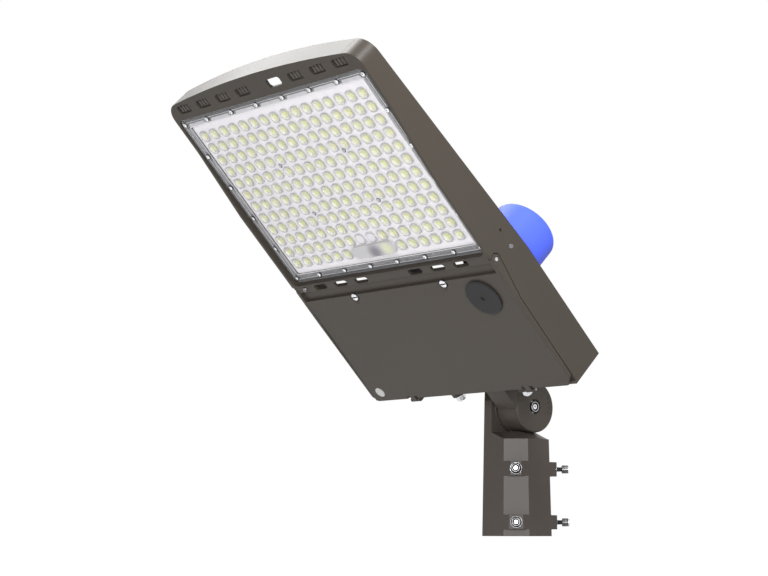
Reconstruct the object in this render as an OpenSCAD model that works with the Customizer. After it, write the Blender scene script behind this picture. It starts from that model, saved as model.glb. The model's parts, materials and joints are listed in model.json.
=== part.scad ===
// Shoebox area light on a slip fitter.
// World frame: +Z up, origin at the mouth of the tenon socket, hinge axis along X,
// the lamp head reaching out towards -Y. Head pieces are drawn level in the head's own
// frame, whose origin is the pivot axis, and at_head() tilts and lifts them into place.

/* [Lamp head] */
// Angle of the head above level, at rest
head_tilt = 45; // [0:5:90]
// Width of the head
head_w = 376; // [360:2:420]
// Length of the head from the rear wall to the tip of the nose
head_len = 503; // [480:1:540]
// Distance from the pivot axis to the rear wall
rear_gap = 68; // [66:1:80]
// Height of the flat top above the pivot axis
top_z = 10; // [8:1:16]
// Depth of the door face below the pivot axis
door_drop = 49; // [47:1:54]
// Depth of the nose lip below the pivot axis
lip_drop = 41; // [39:0.5:44]
// Height lost by the top edge between its level part and the nose
wedge_drop = 22; // [14:1:26]
// Distance from the rear wall to where the top edge starts to fall
wedge_start = 172; // [150:1:190]
// Extra height of the top along its middle line
crown = 8; // [4:1:12]
// Sagitta of the bowed nose over the full width
nose_bow = 11; // [6:1:16]
// Corner radius of the nose
nose_corner_r = 22; // [14:1:30]
// Thickness of the side walls
side_t = 3.8; // [3:0.1:5]
// Thickness of the nose wall
nose_t = 7; // [5:0.5:9]
// Thickness of the floors of the air channels
floor_t = 4; // [3:0.5:5]

/* [Fins and slots] */
// Pitch of the cooling fins, two of which make one slot pitch
fin_pitch = 20.7; // [19:0.1:22]
// Thickness of a fin
fin_t = 3; // [2:0.5:4]
// Number of fins on each side of the middle
fins_a_side = 8; // [6:1:8]
// Length of a front slot
front_slot_w = 26; // [16:1:28]
// Width of a front slot
front_slot_d = 11.5; // [7:0.5:12]
// Length of a rear slot
rear_slot_w = 25; // [16:1:28]
// Width of a rear slot
rear_slot_d = 8; // [5:0.5:8.5]

/* [Lens plate and light source] */
// Lens pitch across the head
lens_px = 20.8; // [19.6:0.1:21]
// Lens pitch along the head
lens_py = 18.9; // [18:0.1:19.4]
// Radius of a lens at its foot
lens_r = 8.2; // [7:0.1:8.6]
// Height of a lens over the plate
lens_h = 3.6; // [2.5:0.1:4.2]
// Distance from the lens plate's edge to the side of the head
plate_margin = 4.5; // [4.5:0.1:10]
// Length of the lens plate
plate_l = 267.6; // [260:0.1:270]
// Thickness of the lens plate's rim
plate_t = 3.2; // [2.5:0.1:4]
// Thickness of the lens plate between its lenses
field_t = 1.4; // [1:0.1:1.8]
// Width of the rim that the plate is clamped by
ledge_w = 12.5; // [12:0.5:15]
// Inset of the rim screws from the plate's edge
rim_inset = 6.8; // [6:0.1:9]
// Thickness of the plate gasket
plate_gasket_t = 1.8; // [1:0.1:2.5]
// Thickness of the circuit board
board_t = 1.6; // [1:0.1:2]
// Side of a light-emitting chip
chip_s = 6; // [3:0.5:8]
// Height of a light-emitting chip
chip_h = 0.6; // [0.4:0.1:0.8]
// Width of the sensor window, across four lens places
window_w = 80; // [60:1:82]

/* [Driver compartment door] */
// Thickness of the door along its rear edge
door_t = 3; // [2.5:0.1:3.5]
// Height of the door's rounded side rails
door_rim_h = 6; // [5:0.5:7]
// Depth of the groove in front of the door
band_w = 14; // [10:1:18]
// Distance of each captive screw from the middle
captive_x = 84.5; // [60:0.5:120]
// Distance of each hinge from the middle
hinge_x = 108; // [90:1:130]
// Radius of the hinge pins
hinge_pin_r = 1.6; // [1.4:0.1:1.8]
// Radius of the round blanking plug
plug_r = 25.5; // [20:0.5:27]

/* [Control receptacle and shorting cap] */
// Distance from the receptacle's axis to the side of the head
cap_inset = 53; // [52:1:78]
// Radius of the shorting cap
cap_r = 42; // [38:0.5:43]
// Height of the shorting cap
cap_h = 48.5; // [40:0.5:60]
// Wall of the shorting cap
cap_t = 3; // [2:0.1:4]
// Turn that frees the cap
cap_turn = 25; // [15:1:30]

/* [Knuckle] */
// Height of the pivot axis above the socket's mouth
pivot_h = 165; // [161:1:195]
// Radius of the knuckle drum
drum_r = 33; // [31:0.5:35]
// Outer face of the drum, measured from the middle
drum_x = 35; // [30:1:42]
// Radius of the toothed rings
ring_r = 33; // [28:0.5:33.5]
// Teeth in each ring
ring_teeth = 36; // [24:1:36]
// Height of a tooth
tooth_h = 1.5; // [1:0.1:2]
// Radius of the knuckle bolt
bolt_r = 4; // [3:0.5:5]
// Running clearance round the knuckle bolt
bolt_fit = 0.08; // [0.05:0.01:0.1]

/* [Slip fitter] */
// Radius of the tenon socket
socket_r = 31; // [30:0.5:31.5]
// Depth of the tenon socket
socket_depth = 105; // [90:1:108]
// Width across the flats at the top
fitter_w = 81; // [78:0.5:90]
// Height of the eight-sided body
fitter_h = 123.5; // [118:0.5:126]
// Draft of each face, in millimetres per millimetre of height
fitter_draft = 0.021; // [0.01:0.001:0.03]
// Leg of the corner chamfers
fitter_chamfer = 21.9; // [16:0.1:24]
// Height of the lower row of set screws above the mouth
screw_row_low = 17.7; // [12:0.1:25]
// Height of the upper row of set screws above the mouth
screw_row_high = 85.5; // [65:0.5:91]
// Radius of a set screw
set_r = 3; // [2.5:0.5:4]
// Distance of the set screw bosses' faces from the tenon axis
boss_reach = 51.5; // [49:0.5:54]

/* [Fits] */
// Gap between pieces that only rest on each other
gap = 0.3; // [0.2:0.1:0.5]
// Radial fit of threads and pressed pins in their holes
thread_fit = 0.05; // [0.02:0.01:0.1]

/* [Hidden] */

BRONZE = [0.30, 0.28, 0.26];
BRONZE_LIGHT = [0.38, 0.36, 0.34];
STEEL = [0.78, 0.78, 0.80];
RUBBER = [0.16, 0.16, 0.17];
BLUE = [0.33, 0.45, 1.0];
BOARD_WHITE = [0.90, 0.88, 0.94];
CHIP_YELLOW = [0.88, 0.88, 0.58];
CLEAR = [0.85, 0.86, 0.90, 0.45];
FINE = 96;
ROUND = 48;
SMALL = 24;
TOP_FACETS = 1440;

// Head levels and stations, in the head's own frame
half_w = head_w / 2;
rear_y = -rear_gap;
plate_w = head_w - 2 * plate_margin;
board_w = plate_w - 2 * ledge_w;
board_l = plate_l - 2 * ledge_w;
nose_y = rear_y - head_len;
nose_circle_r = (half_w * half_w + nose_bow * nose_bow) / (2 * nose_bow);
lip_z = -lip_drop;
door_z = -door_drop;
rim_z = door_z + 1.5;
crown_r = (half_w * half_w + crown * crown) / (2 * crown);
wedge_y = rear_y - wedge_start;
wedge_run = head_len - wedge_start - 26;
wedge_angle = atan(wedge_drop / wedge_run);
// Lamp tray, measured from the nose tip
tray_front_y = nose_y + 30;
plate_front_y = tray_front_y + 2.9;
plate_rear_y = plate_front_y + plate_l;
plate_z = lip_z + 1.5;
seat_z = plate_z + plate_t + plate_gasket_t;
// The board lies close behind the thin field of the plate, its chips just clear of it
board_face_z = plate_z + field_t + chip_h + gap;
board_z = board_face_z + board_t;
tray_top_z = board_z + floor_t + 3;
rim_thread_l = 3.7;
tray_rear_y = plate_rear_y + 3.9;
// As many lenses as the board has room for, in an even number of columns
lens_cols = 2 * floor((board_w - 2) / (2 * lens_px));
lens_rows = floor((board_l - 2) / lens_py);
lens_y0 = (plate_front_y + plate_rear_y) / 2 - (lens_rows - 1) / 2 * lens_py;
rim_x = plate_w / 2 - rim_inset;
rim_front_y = plate_front_y + rim_inset + 0.6;
rim_rear_y = plate_rear_y - rim_inset - 0.6;
// Rear channel and driver compartment
strip_z = door_z + 3;
strip_rear_y = plate_rear_y + 12.6;
door_front_y = strip_rear_y + band_w;
mate_z = door_z + door_rim_h + gap;
wall_front_y = door_front_y + 18;
front_wall_t = 8;
bay_front_y = wall_front_y + front_wall_t;
bay_rear_y = rear_y - 9;
bay_x = half_w - 11;
arm_pad_t = 14;
arm_pad_x = 76;
wire_x = 12;
wire_z = -12;
wire_r = 8;
grommet_r = 11;
bay_top_z = top_z - 5;
pot_r = 42;
pot_y = wall_front_y;
slot_strip_y = (plate_rear_y + strip_rear_y) / 2 + 1.2;
front_slot_y = nose_y + 18.5;
ribs = [2.5, 4.5, 6.5];
front_slots = [1.5, 3.5, 5.5, 7.5];
rear_slots = [2.5, 4.5, 6.5];
slot_corner_r = 4;
raceway_w = 40;
// Door and hinge
hinge_r = 2.9;
hinge_off = hinge_r + 0.4;
hinge_y = rear_y + hinge_off;
hinge_z = door_z + door_t + 0.6;
hinge_lug_w = 8;
fixed_lug_w = 4;
lug_gap = 0.4;
captive_y = door_front_y + 4.2;
door_front_z = door_z + 1.9;
door_in_z = door_z + 4.8;
captive_seat_z = door_in_z - 0.4;
cheek_t = 5.5;
cheek_gap = 1.1;
cheek_rear_y = rear_y - 5.3;
ear_r = 6.6;
ear_y = door_front_y - 14.7;
ear_z = door_z + 8.7;
door_corner_r = 12;
vent_r = 7.6;
cap_x = half_w - cap_inset;
plug_x = half_w - 50;
plug_y = wall_front_y + 13;
plug_stem_r = 6.4;
vent_x = -(half_w - 24);
ground_x = -(half_w - 21);
vent_y = rear_y - 16;
// Cap and receptacle
pad_z = top_z;
seat_gasket_t = 1;
flange_top_z = pad_z + seat_gasket_t + 6;
tower_top_z = flange_top_z + 17.7;
skirt_z = flange_top_z + 2.5;
blade_r = 17;
blade_t = 1.6;
blade_span = 30;
seat_screw_r = 36.5;
grip_angles = [65, 245];
// Knuckle
ear_face_x = -5;
ring_stub = 0.6;
arm_teeth_x = ear_face_x + ring_stub + 2 * tooth_h + gap;
arm_x0 = 1;
bead_w = 5.5;
disc_w = 3;
bead_h = 0.8;
barrel_r = drum_r - bead_h;
arm_gasket_t = 1.5;
arm_thread_l = 11;
flange_y = rear_y + arm_gasket_t;
flange_t = 10;
arm_bolt_x = 62.5;
arm_bolt_z = [-17, 3];
flange_low = arm_bolt_z[0] - 10;
flange_high = arm_bolt_z[1] + 10;
boss_h = 11;
arm_bolt_boss_r = 9;
roof_h = 10;
// The web's underside clears the fitter's roof when the head is level
web_low = max(-25.5, fitter_h + roof_h - pivot_h + 1);
counterbore_r = 9.6;
// Slip fitter
fitter_half = fitter_w / 2;
diagonal_half = (2 * fitter_half - fitter_chamfer) / sqrt(2);
ramp_x = fitter_half - fitter_chamfer;
screw_angles = [-45, 45];

module at_head() {
  translate([0, 0, pivot_h]) rotate([-head_tilt, 0, 0]) children();
}

module mirror_x() {
  children();
  mirror([1, 0, 0]) children();
}

// Box between two corners
module block(low, high) {
  translate(low) cube(high - low);
}

// Flat plate with rounded corners, centred in X, from y0 to y1
module round_plate(w, y0, y1, r, z0, z1) {
  translate([0, 0, z0]) linear_extrude(z1 - z0) {
    union() {
      translate([-w / 2 + r, y0]) square([w - 2 * r, y1 - y0]);
      translate([-w / 2, y0 + r]) square([w, y1 - y0 - 2 * r]);
      for (sx = [-1, 1]) {
        translate([sx * (w / 2 - r), y0 + r]) circle(r, $fn = ROUND);
        translate([sx * (w / 2 - r), y1 - r]) circle(r, $fn = ROUND);
      }
    }
  }
}

// Slot with round corners, its long side along X
module slot_prism(w, d, h) {
  r = min(slot_corner_r, d / 2 - 0.1);
  linear_extrude(h) {
    union() {
      square([w - 2 * r, d], center = true);
      square([w, d - 2 * r], center = true);
      for (sx = [-1, 1], sy = [-1, 1]) {
        translate([sx * (w / 2 - r), sy * (d / 2 - r)]) circle(r, $fn = SMALL);
      }
    }
  }
}

// Pan-head machine screw: head below z = 0, shank above
module pan_screw(head_r, head_h, shank_r, shank_l) {
  difference() {
    union() {
      translate([0, 0, -head_h]) cylinder(h = head_h, r1 = head_r * 0.8, r2 = head_r, $fn = SMALL);
      cylinder(h = shank_l, r = shank_r, $fn = SMALL);
    }
    translate([0, 0, -head_h]) cube([head_r, head_r / 5, head_h * 0.9], center = true);
    translate([0, 0, -head_h]) cube([head_r / 5, head_r, head_h * 0.9], center = true);
  }
}

// ---- Slip fitter ----

// Tapered slab, thick along X at its top by 2 * half_top, growing downwards by the draft
module tapered_slab(half_top, z1) {
  half_bottom = half_top + fitter_draft * fitter_h;
  half_up = half_top - fitter_draft * (z1 - fitter_h);
  rotate([90, 0, 0]) linear_extrude(200, center = true) {
    polygon([[-half_bottom, 0], [half_bottom, 0], [half_up, z1], [-half_up, z1]]);
  }
}

module tapered_square(z1) {
  intersection() {
    tapered_slab(fitter_half, z1);
    rotate([0, 0, 90]) tapered_slab(fitter_half, z1);
  }
}

module tapered_octagon(z1) {
  intersection() {
    tapered_square(z1);
    rotate([0, 0, 45]) tapered_slab(diagonal_half, z1);
    rotate([0, 0, -45]) tapered_slab(diagonal_half, z1);
  }
}

// Crown of radial teeth standing on the plane x = 0, pointing towards +X
module face_teeth() {
  tooth_w = 2.5;
  root_r = ring_r / 2 + 1;
  for (i = [0 : ring_teeth - 1]) {
    rotate([i * 360 / ring_teeth, 0, 0]) {
      translate([0, 0, root_r]) linear_extrude(ring_r - 0.6 - root_r) {
        polygon([[-0.2, -tooth_w / 2], [0, -tooth_w / 2], [tooth_h, -0.15],
                 [tooth_h, 0.15], [0, tooth_w / 2], [-0.2, tooth_w / 2]]);
      }
    }
  }
}

module x_cylinder(x0, x1, r, facets = FINE) {
  translate([x0, 0, 0]) rotate([0, 90, 0]) cylinder(h = x1 - x0, r = r, $fn = facets);
}

module set_screw_frame(angle, row_z) {
  translate([0, 0, row_z]) rotate([0, 0, angle]) children();
}

// Eight-sided body, its roof, the set screw bosses and the ear
module fitter_body(ear_top_r) {
  tapered_octagon(fitter_h);
  // roof that rises to the drum
  intersection() {
    tapered_octagon(fitter_h + roof_h + 1);
    translate([0, 0, fitter_h - 1]) {
      cylinder(h = roof_h + 1, r1 = fitter_half + 3, r2 = fitter_half + 3 - 2 * roof_h, $fn = FINE);
    }
  }
  // ramp from the top up to the ear
  intersection() {
    tapered_octagon(fitter_h + roof_h);
    rotate([90, 0, 0]) linear_extrude(2 * fitter_half, center = true) {
      polygon([[-fitter_half, fitter_h - 1], [ramp_x, fitter_h - 1], [ramp_x, fitter_h],
               [ear_face_x, fitter_h + roof_h - 1], [-fitter_half, fitter_h + roof_h - 1]]);
    }
  }
  // set screw bosses: the square's corners kept at the screw rows
  for (angle = screw_angles, row = [screw_row_low, screw_row_high]) {
    intersection() {
      tapered_square(fitter_h);
      set_screw_frame(angle, row) translate([boss_reach / 2, 0, 0]) cube([boss_reach, 60, 18], center = true);
    }
  }
  // ear: the left part of the body carried up and rounded about the pivot
  intersection() {
    tapered_octagon(pivot_h + ear_top_r + 1);
    union() {
      block([-60, -60, fitter_h - 1], [ear_face_x, 60, pivot_h]);
      translate([0, 0, pivot_h]) x_cylinder(-60, ear_face_x, ear_top_r);
    }
  }
}

module slip_fitter() {
  ear_top_r = fitter_half - 0.2;
  teeth_x = ear_face_x + ring_stub;
  color(BRONZE_LIGHT) difference() {
    union() {
      difference() {
        fitter_body(ear_top_r);
        // saddle clear of the drum
        translate([0, 0, pivot_h]) x_cylinder(ear_face_x, 80, drum_r + 1);
      }
      translate([0, 0, pivot_h]) {
        x_cylinder(ear_face_x - 1, teeth_x, ring_r);
        translate([teeth_x, 0, 0]) face_teeth();
      }
    }
    // tenon socket
    translate([0, 0, -1]) cylinder(h = socket_depth + 1, r = socket_r, $fn = FINE);
    // wireway from the socket up into the ear
    translate([-20, 0, socket_depth - 1]) cylinder(h = pivot_h - socket_depth, r = 9, $fn = ROUND);
    translate([0, 0, pivot_h]) {
      x_cylinder(-30, 0, 14, ROUND);
      x_cylinder(-60, 0, bolt_r + thread_fit, ROUND);
    }
    for (angle = screw_angles, row = [screw_row_low, screw_row_high]) {
      set_screw_frame(angle, row) {
        x_cylinder(20, 80, set_r + thread_fit, SMALL);
        x_cylinder(boss_reach - 0.8, 80, 7.6, ROUND);
      }
    }
  }
}

// Square-head screw with a hexagon socket, its tip just clear of the tenon
module set_screw(angle, row_z) {
  tip = socket_r + gap;
  neck_end = boss_reach + 6.3;
  head_l = 9.5;
  color(STEEL) set_screw_frame(angle, row_z) difference() {
    union() {
      x_cylinder(tip + 1, neck_end, set_r, SMALL);
      translate([tip, 0, 0]) rotate([0, 90, 0]) cylinder(h = 1, r1 = set_r - 0.8, r2 = set_r, $fn = SMALL);
      x_cylinder(neck_end, neck_end + head_l, 5.2, ROUND);
    }
    x_cylinder(neck_end + head_l - 5, neck_end + head_l + 1, 2.9, 6);
  }
}

module knuckle_bolt() {
  color(STEEL) translate([0, 0, pivot_h]) difference() {
    union() {
      x_cylinder(-38, drum_x - 6.4, bolt_r, ROUND);
      x_cylinder(drum_x - 6.4, drum_x + 0.4, 6.5, ROUND);
    }
    x_cylinder(drum_x - 3.5, drum_x + 2, 3.4, 6);
  }
}

module knuckle_washer() {
  color(STEEL) translate([0, 0, pivot_h]) difference() {
    x_cylinder(drum_x - 7.9, drum_x - 6.4, counterbore_r - 0.5, ROUND);
    x_cylinder(drum_x - 10, drum_x, bolt_r + bolt_fit, ROUND);
  }
}

// ---- Knuckle arm ----

// Drum with a raised bead at each end, the inner one as wide as the toothed ring
// and the outer one with a chamfered edge
module drum(inner_x) {
  edge = 1.4;
  x_cylinder(inner_x + 1, drum_x - 1, barrel_r);
  x_cylinder(inner_x, inner_x + bead_w, ring_r);
  x_cylinder(drum_x - disc_w, drum_x - edge, drum_r);
  translate([drum_x - edge, 0, 0]) rotate([0, 90, 0]) cylinder(h = edge, r1 = drum_r, r2 = drum_r - edge, $fn = FINE);
}

// Plate against the rear wall, its corners round, with a boss under each bolt head
module arm_flange() {
  corner_r = 8;
  half_x = arm_bolt_x + arm_bolt_boss_r + 1;
  translate([0, flange_y + flange_t, 0]) rotate([90, 0, 0]) linear_extrude(flange_t) {
    union() {
      translate([-half_x + corner_r, flange_low]) square([2 * (half_x - corner_r), flange_high - flange_low]);
      translate([-half_x, flange_low + corner_r]) square([2 * half_x, flange_high - flange_low - 2 * corner_r]);
      for (sx = [-1, 1], z = [flange_low + corner_r, flange_high - corner_r]) {
        translate([sx * (half_x - corner_r), z]) circle(corner_r, $fn = ROUND);
      }
    }
  }
  arm_bolt_frame() translate([0, 0, -boss_h]) cylinder(h = boss_h + 1, r = arm_bolt_boss_r, $fn = ROUND);
}

// Each arm bolt's frame: origin on the flange's rear face, pointing into the head
module arm_bolt_frame() {
  for (sx = [-1, 1], z = arm_bolt_z) {
    translate([sx * arm_bolt_x, flange_y + flange_t, z]) rotate([90, 0, 0]) children();
  }
}

module knuckle_arm() {
  mark_r = drum_r - 9;
  color(BRONZE) at_head() difference() {
    union() {
      drum(arm_teeth_x);
      translate([arm_teeth_x, 0, 0]) mirror([1, 0, 0]) face_teeth();
      // web from the drum to the flange
      translate([arm_x0, 0, 0]) rotate([90, 0, 90]) linear_extrude(drum_x - 0.4 - arm_x0) {
        polygon([[0, 0], [-2, barrel_r - 1], [flange_y + 2, flange_high - 1.5], [flange_y + 2, web_low],
                 [-barrel_r / 3, web_low]]);
      }
      arm_flange();
      // degree marks round the outer face
      for (a = [0 : 15 : 180]) {
        rotate([a - 60, 0, 0]) translate([drum_x - 0.5, -0.5, mark_r]) cube([1.1, 1, a % 45 == 0 ? 5.5 : 3.5]);
      }
    }
    x_cylinder(-10, drum_x + 5, bolt_r + bolt_fit, ROUND);
    x_cylinder(drum_x - 8, drum_x + 5, counterbore_r, ROUND);
    // wireway
    x_cylinder(-10, drum_x - 14, 14, ROUND);
    translate([wire_x, 0, wire_z]) rotate([90, 0, 0]) cylinder(h = rear_gap + 10, r = wire_r + 1, $fn = ROUND);
    arm_bolt_frame() translate([0, 0, -boss_h - 1]) cylinder(h = boss_h + flange_t + 2, r = bolt_r + 0.3, $fn = SMALL);
  }
}

module arm_gasket() {
  color(RUBBER) at_head() difference() {
    block([-arm_bolt_x - 9, rear_y, flange_low + 1], [arm_bolt_x + 9, flange_y, flange_high - 1]);
    translate([wire_x, 0, wire_z]) rotate([90, 0, 0]) cylinder(h = rear_gap + 10, r = grommet_r, $fn = ROUND);
    arm_bolt_frame() cylinder(h = flange_t + 10, r = bolt_r + 0.3, $fn = SMALL);
  }
}

module arm_bolts() {
  washer_t = 1.6;
  hex_h = 6.5;
  crown_h = 1.2;
  shank_l = boss_h + flange_t + arm_gasket_t + arm_thread_l;
  color(STEEL) at_head() arm_bolt_frame() translate([0, 0, -boss_h]) {
    translate([0, 0, -washer_t]) cylinder(h = washer_t, r = 7.4, $fn = ROUND);
    translate([0, 0, -washer_t - hex_h]) cylinder(h = hex_h + 0.1, r = 6.6, $fn = 6);
    translate([0, 0, -washer_t - hex_h - crown_h]) cylinder(h = crown_h + 0.1, r = 5.4, $fn = ROUND);
    translate([0, 0, -1]) cylinder(h = 1 + shank_l, r = bolt_r, $fn = ROUND);
  }
}

module wire_grommet() {
  color(RUBBER) at_head() translate([wire_x, rear_y, wire_z]) rotate([90, 0, 0]) difference() {
    union() {
      cylinder(h = arm_pad_t, r = grommet_r, $fn = ROUND);
      translate([0, 0, arm_pad_t]) cylinder(h = 2, r = grommet_r + 2, $fn = ROUND);
    }
    translate([0, 0, -1]) cylinder(h = arm_pad_t + 6, r = wire_r, $fn = ROUND);
  }
}

// ---- Housing ----

// Outline of the head from above, drawn in by inset; the nose is an arc with round corners
module head_outline(inset, nose_inset) {
  hw = half_w - inset;
  cr = max(4, nose_corner_r - inset);
  big = nose_circle_r - nose_inset;
  cy = nose_y + nose_circle_r;
  corner_y = cy - sqrt(pow(big - cr, 2) - pow(hw - cr, 2));
  union() {
    intersection() {
      translate([0, cy]) circle(big, $fn = TOP_FACETS);
      translate([-(hw - cr), nose_y - 10]) square([2 * (hw - cr), corner_y - nose_y + 11]);
    }
    translate([-hw, corner_y]) square([2 * hw, rear_y - corner_y]);
    for (sx = [-1, 1]) {
      translate([sx * (hw - cr), corner_y]) circle(cr, $fn = FINE);
    }
  }
}

// Cylinder lying along the falling top line, whose upper side is the crowned top
module crown_cylinder() {
  translate([0, wedge_y, top_z]) rotate([wedge_angle, 0, 0]) translate([0, head_len, crown - crown_r]) {
    rotate([90, 0, 0]) cylinder(h = 2 * head_len, r = crown_r, $fn = TOP_FACETS);
  }
}

// Side view: falling rim below, level top above
module side_profile() {
  rotate([90, 0, 90]) linear_extrude(head_w + 20, center = true) {
    polygon([
      [nose_y - 5, lip_z], [nose_y + 82, lip_z - 0.6], [nose_y + 182, rim_z], [strip_rear_y, rim_z],
      [rear_y, rim_z], [rear_y, top_z], [nose_y - 5, top_z]
    ]);
  }
}

module envelope() {
  intersection() {
    translate([0, 0, door_z - 5]) linear_extrude(top_z - door_z + 10) head_outline(0, 0);
    side_profile();
    crown_cylinder();
  }
}

// The space over the lamp tray and in the rear channel, open at the top
module fin_space() {
  intersection() {
    translate([0, 0, tray_top_z]) linear_extrude(80) head_outline(side_t + 1, nose_t);
    block([-half_w, nose_y, tray_top_z], [half_w, wall_front_y, 80]);
  }
}

module front_channel() {
  intersection() {
    translate([0, 0, lip_z + floor_t]) linear_extrude(80) head_outline(side_t + 1, nose_t);
    block([-half_w, nose_y, lip_z + floor_t], [half_w, tray_front_y, 80]);
  }
}

module rear_channel() {
  in_x = half_w - side_t - 1;
  block([-in_x, tray_rear_y, strip_z + floor_t], [in_x, strip_rear_y - 1, 80]);
  block([-in_x + 4, strip_rear_y - 2, mate_z + floor_t], [in_x - 4, wall_front_y, 80]);
}

// Fins that fill the space; the long ones reach the nose and stand between the slots
module fins() {
  for (k = [0 : fins_a_side - 1], sx = [-1, 1]) {
    x = sx * (k + 0.5) * fin_pitch;
    reach = len([for (rib = ribs) if (rib == k + 0.5) 1]) > 0;
    y0 = reach ? nose_y + nose_t / 2 : tray_front_y + 19;
    z0 = tray_top_z - 1;
    intersection() {
      envelope();
      union() {
        block([x - fin_t / 2, y0, z0], [x + fin_t / 2, tray_rear_y, 80]);
        if (reach) block([x - fin_t / 2, y0, lip_z + 1], [x + fin_t / 2, tray_front_y + 1, 80]);
      }
    }
  }
}

module housing_solid() {
  difference() {
    envelope();
    fin_space();
    front_channel();
    rear_channel();
  }
  fins();
  // raceway between the lamp tray and the driver compartment
  block([-raceway_w / 2, tray_rear_y - 30, strip_z + floor_t - 1], [raceway_w / 2, wall_front_y + 1, bay_top_z - 12]);
  // receptacle pot over the rear channel
  translate([cap_x, pot_y, pad_z - 22]) cylinder(h = 22, r = pot_r, $fn = FINE);
  // captive screw bosses
  for (sx = [-1, 1]) {
    translate([sx * captive_x, captive_y, mate_z]) cylinder(h = 14, r = 7, $fn = ROUND);
  }
  // hinge lugs behind the rear wall
  for (sx = [-1, 1], side = [-1, 1]) {
    lug_x = sx * hinge_x + side * (hinge_lug_w / 2 + lug_gap + fixed_lug_w / 2);
    translate([lug_x - fixed_lug_w / 2, 0, 0]) {
      translate([0, hinge_y, hinge_z]) rotate([0, 90, 0]) cylinder(h = fixed_lug_w, r = hinge_r, $fn = ROUND);
      block([0, rear_y - 1, hinge_z], [fixed_lug_w, hinge_y + hinge_r, hinge_z + 9]);
    }
  }
}

module housing() {
  color(BRONZE) at_head() difference() {
    housing_solid();
    // lens plate pocket, deeper round the raised pad that the board lies on
    difference() {
      round_plate(plate_w + 2 * gap, plate_front_y - gap, plate_rear_y + gap, 9 + gap, door_z - 5, seat_z);
      round_plate(board_w - 2, plate_front_y + ledge_w + 1, plate_rear_y - ledge_w - 1, 5, board_z, seat_z + 1);
    }
    round_plate(board_w + 1, plate_front_y + ledge_w - 0.5, plate_rear_y - ledge_w + 0.5, 6, door_z - 5, board_z);
    // groove in front of the door, and the plane that the door closes on
    block([-half_w - 1, strip_rear_y, door_z - 5], [half_w + 1, rear_y - 4, mate_z]);
    block([-half_w - 1, rear_y - 5, door_z - 5], [half_w + 1, rear_y + 1, hinge_z + gap]);
    mirror_x() translate([half_w - cheek_t - gap, 0, 0]) rotate([90, 0, 90]) linear_extrude(cheek_t + 5) {
      cheek_outline(cheek_gap);
    }
    block([-half_w - 1, plate_rear_y + 2, door_z - 5], [half_w + 1, strip_rear_y + 1, strip_z]);
    // driver compartment, with a thick pad left behind the arm's flange
    difference() {
      block([-bay_x, bay_front_y, door_z - 5], [bay_x, bay_rear_y, bay_top_z]);
      block([-arm_pad_x, rear_y - arm_pad_t, mate_z - 1], [arm_pad_x, rear_y, bay_top_z + 1]);
    }
    // receptacle pot and its window into the compartment
    translate([cap_x, pot_y, pad_z - 18]) cylinder(h = 13, r = 32, $fn = FINE);
    block([cap_x - 26, pot_y, pad_z - 18], [cap_x + 26, bay_front_y + 2, pad_z - 5]);
    translate([cap_x, pot_y, pad_z - 10]) cylinder(h = 30, r = 26, $fn = ROUND);
    for (a = [45 : 90 : 315]) {
      translate([cap_x + seat_screw_r * cos(a), pot_y + seat_screw_r * sin(a), pad_z - 9]) cylinder(h = 30, r = 2 + thread_fit, $fn = SMALL);
    }
    // air slots
    for (k = front_slots, sx = [-1, 1]) {
      translate([sx * k * fin_pitch, front_slot_y, lip_z - 3]) slot_prism(front_slot_w, front_slot_d, floor_t + 6);
    }
    for (k = rear_slots, sx = [-1, 1]) {
      translate([sx * k * fin_pitch, slot_strip_y, strip_z - 3]) slot_prism(rear_slot_w, rear_slot_d, floor_t + 6);
    }
    // wire holes of the raceway and the rear wall
    translate([0, bay_front_y + 2, board_z + 13]) rotate([90, 0, 0]) cylinder(h = bay_front_y - tray_rear_y + 26, r = 5, $fn = ROUND);
    translate([0, tray_rear_y - 20, board_z - 2]) cylinder(h = 15, r = 5, $fn = ROUND);
    translate([wire_x, rear_y + 1, wire_z]) rotate([90, 0, 0]) {
      cylinder(h = arm_pad_t + 6, r = grommet_r + thread_fit, $fn = ROUND);
    }
    // threaded holes
    arm_bolt_frame() cylinder(h = flange_t + arm_gasket_t + arm_thread_l + 1, r = bolt_r + thread_fit, $fn = SMALL);
    for (p = rim_screw_places()) {
      translate([p[0], p[1], seat_z - 1]) cylinder(h = rim_thread_l + 1.3, r = 2 + thread_fit, $fn = SMALL);
    }
    for (p = board_screw_places()) {
      translate([p[0], p[1], board_z - 1]) cylinder(h = floor_t + 1, r = 1.5 + thread_fit, $fn = SMALL);
    }
    for (p = driver_screw_places()) {
      translate([p[0], p[1], bay_top_z - 1]) cylinder(h = 4.5, r = 2 + thread_fit, $fn = SMALL);
    }
    for (sx = [-1, 1]) {
      translate([sx * captive_x, captive_y, mate_z - 1]) cylinder(h = 13, r = 3.3, $fn = SMALL);
      translate([sx * hinge_x, hinge_y, hinge_z]) x_cylinder(-20, 20, hinge_pin_r + thread_fit, SMALL);
      translate([sx * half_w, side_screw_y, side_screw_z]) x_cylinder(-10, 10, 1.5 + thread_fit, SMALL);
    }
    translate([half_w, side_screw_y - 24, side_screw_z + 0.5]) x_cylinder(-3, 3, 2, SMALL);
    translate([ground_x, slot_strip_y, strip_z - 1]) cylinder(h = 4.5, r = 2 + thread_fit, $fn = SMALL);
  }
}

// ---- Light source ----

side_screw_y = strip_rear_y + 3.5;
side_screw_z = -11;
window_y = lens_y0 + (lens_rows - 1) * lens_py;
window_d = 18.2;
window_r = 8;
window_h = 2;
board_screw_h = 1.2;

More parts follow.
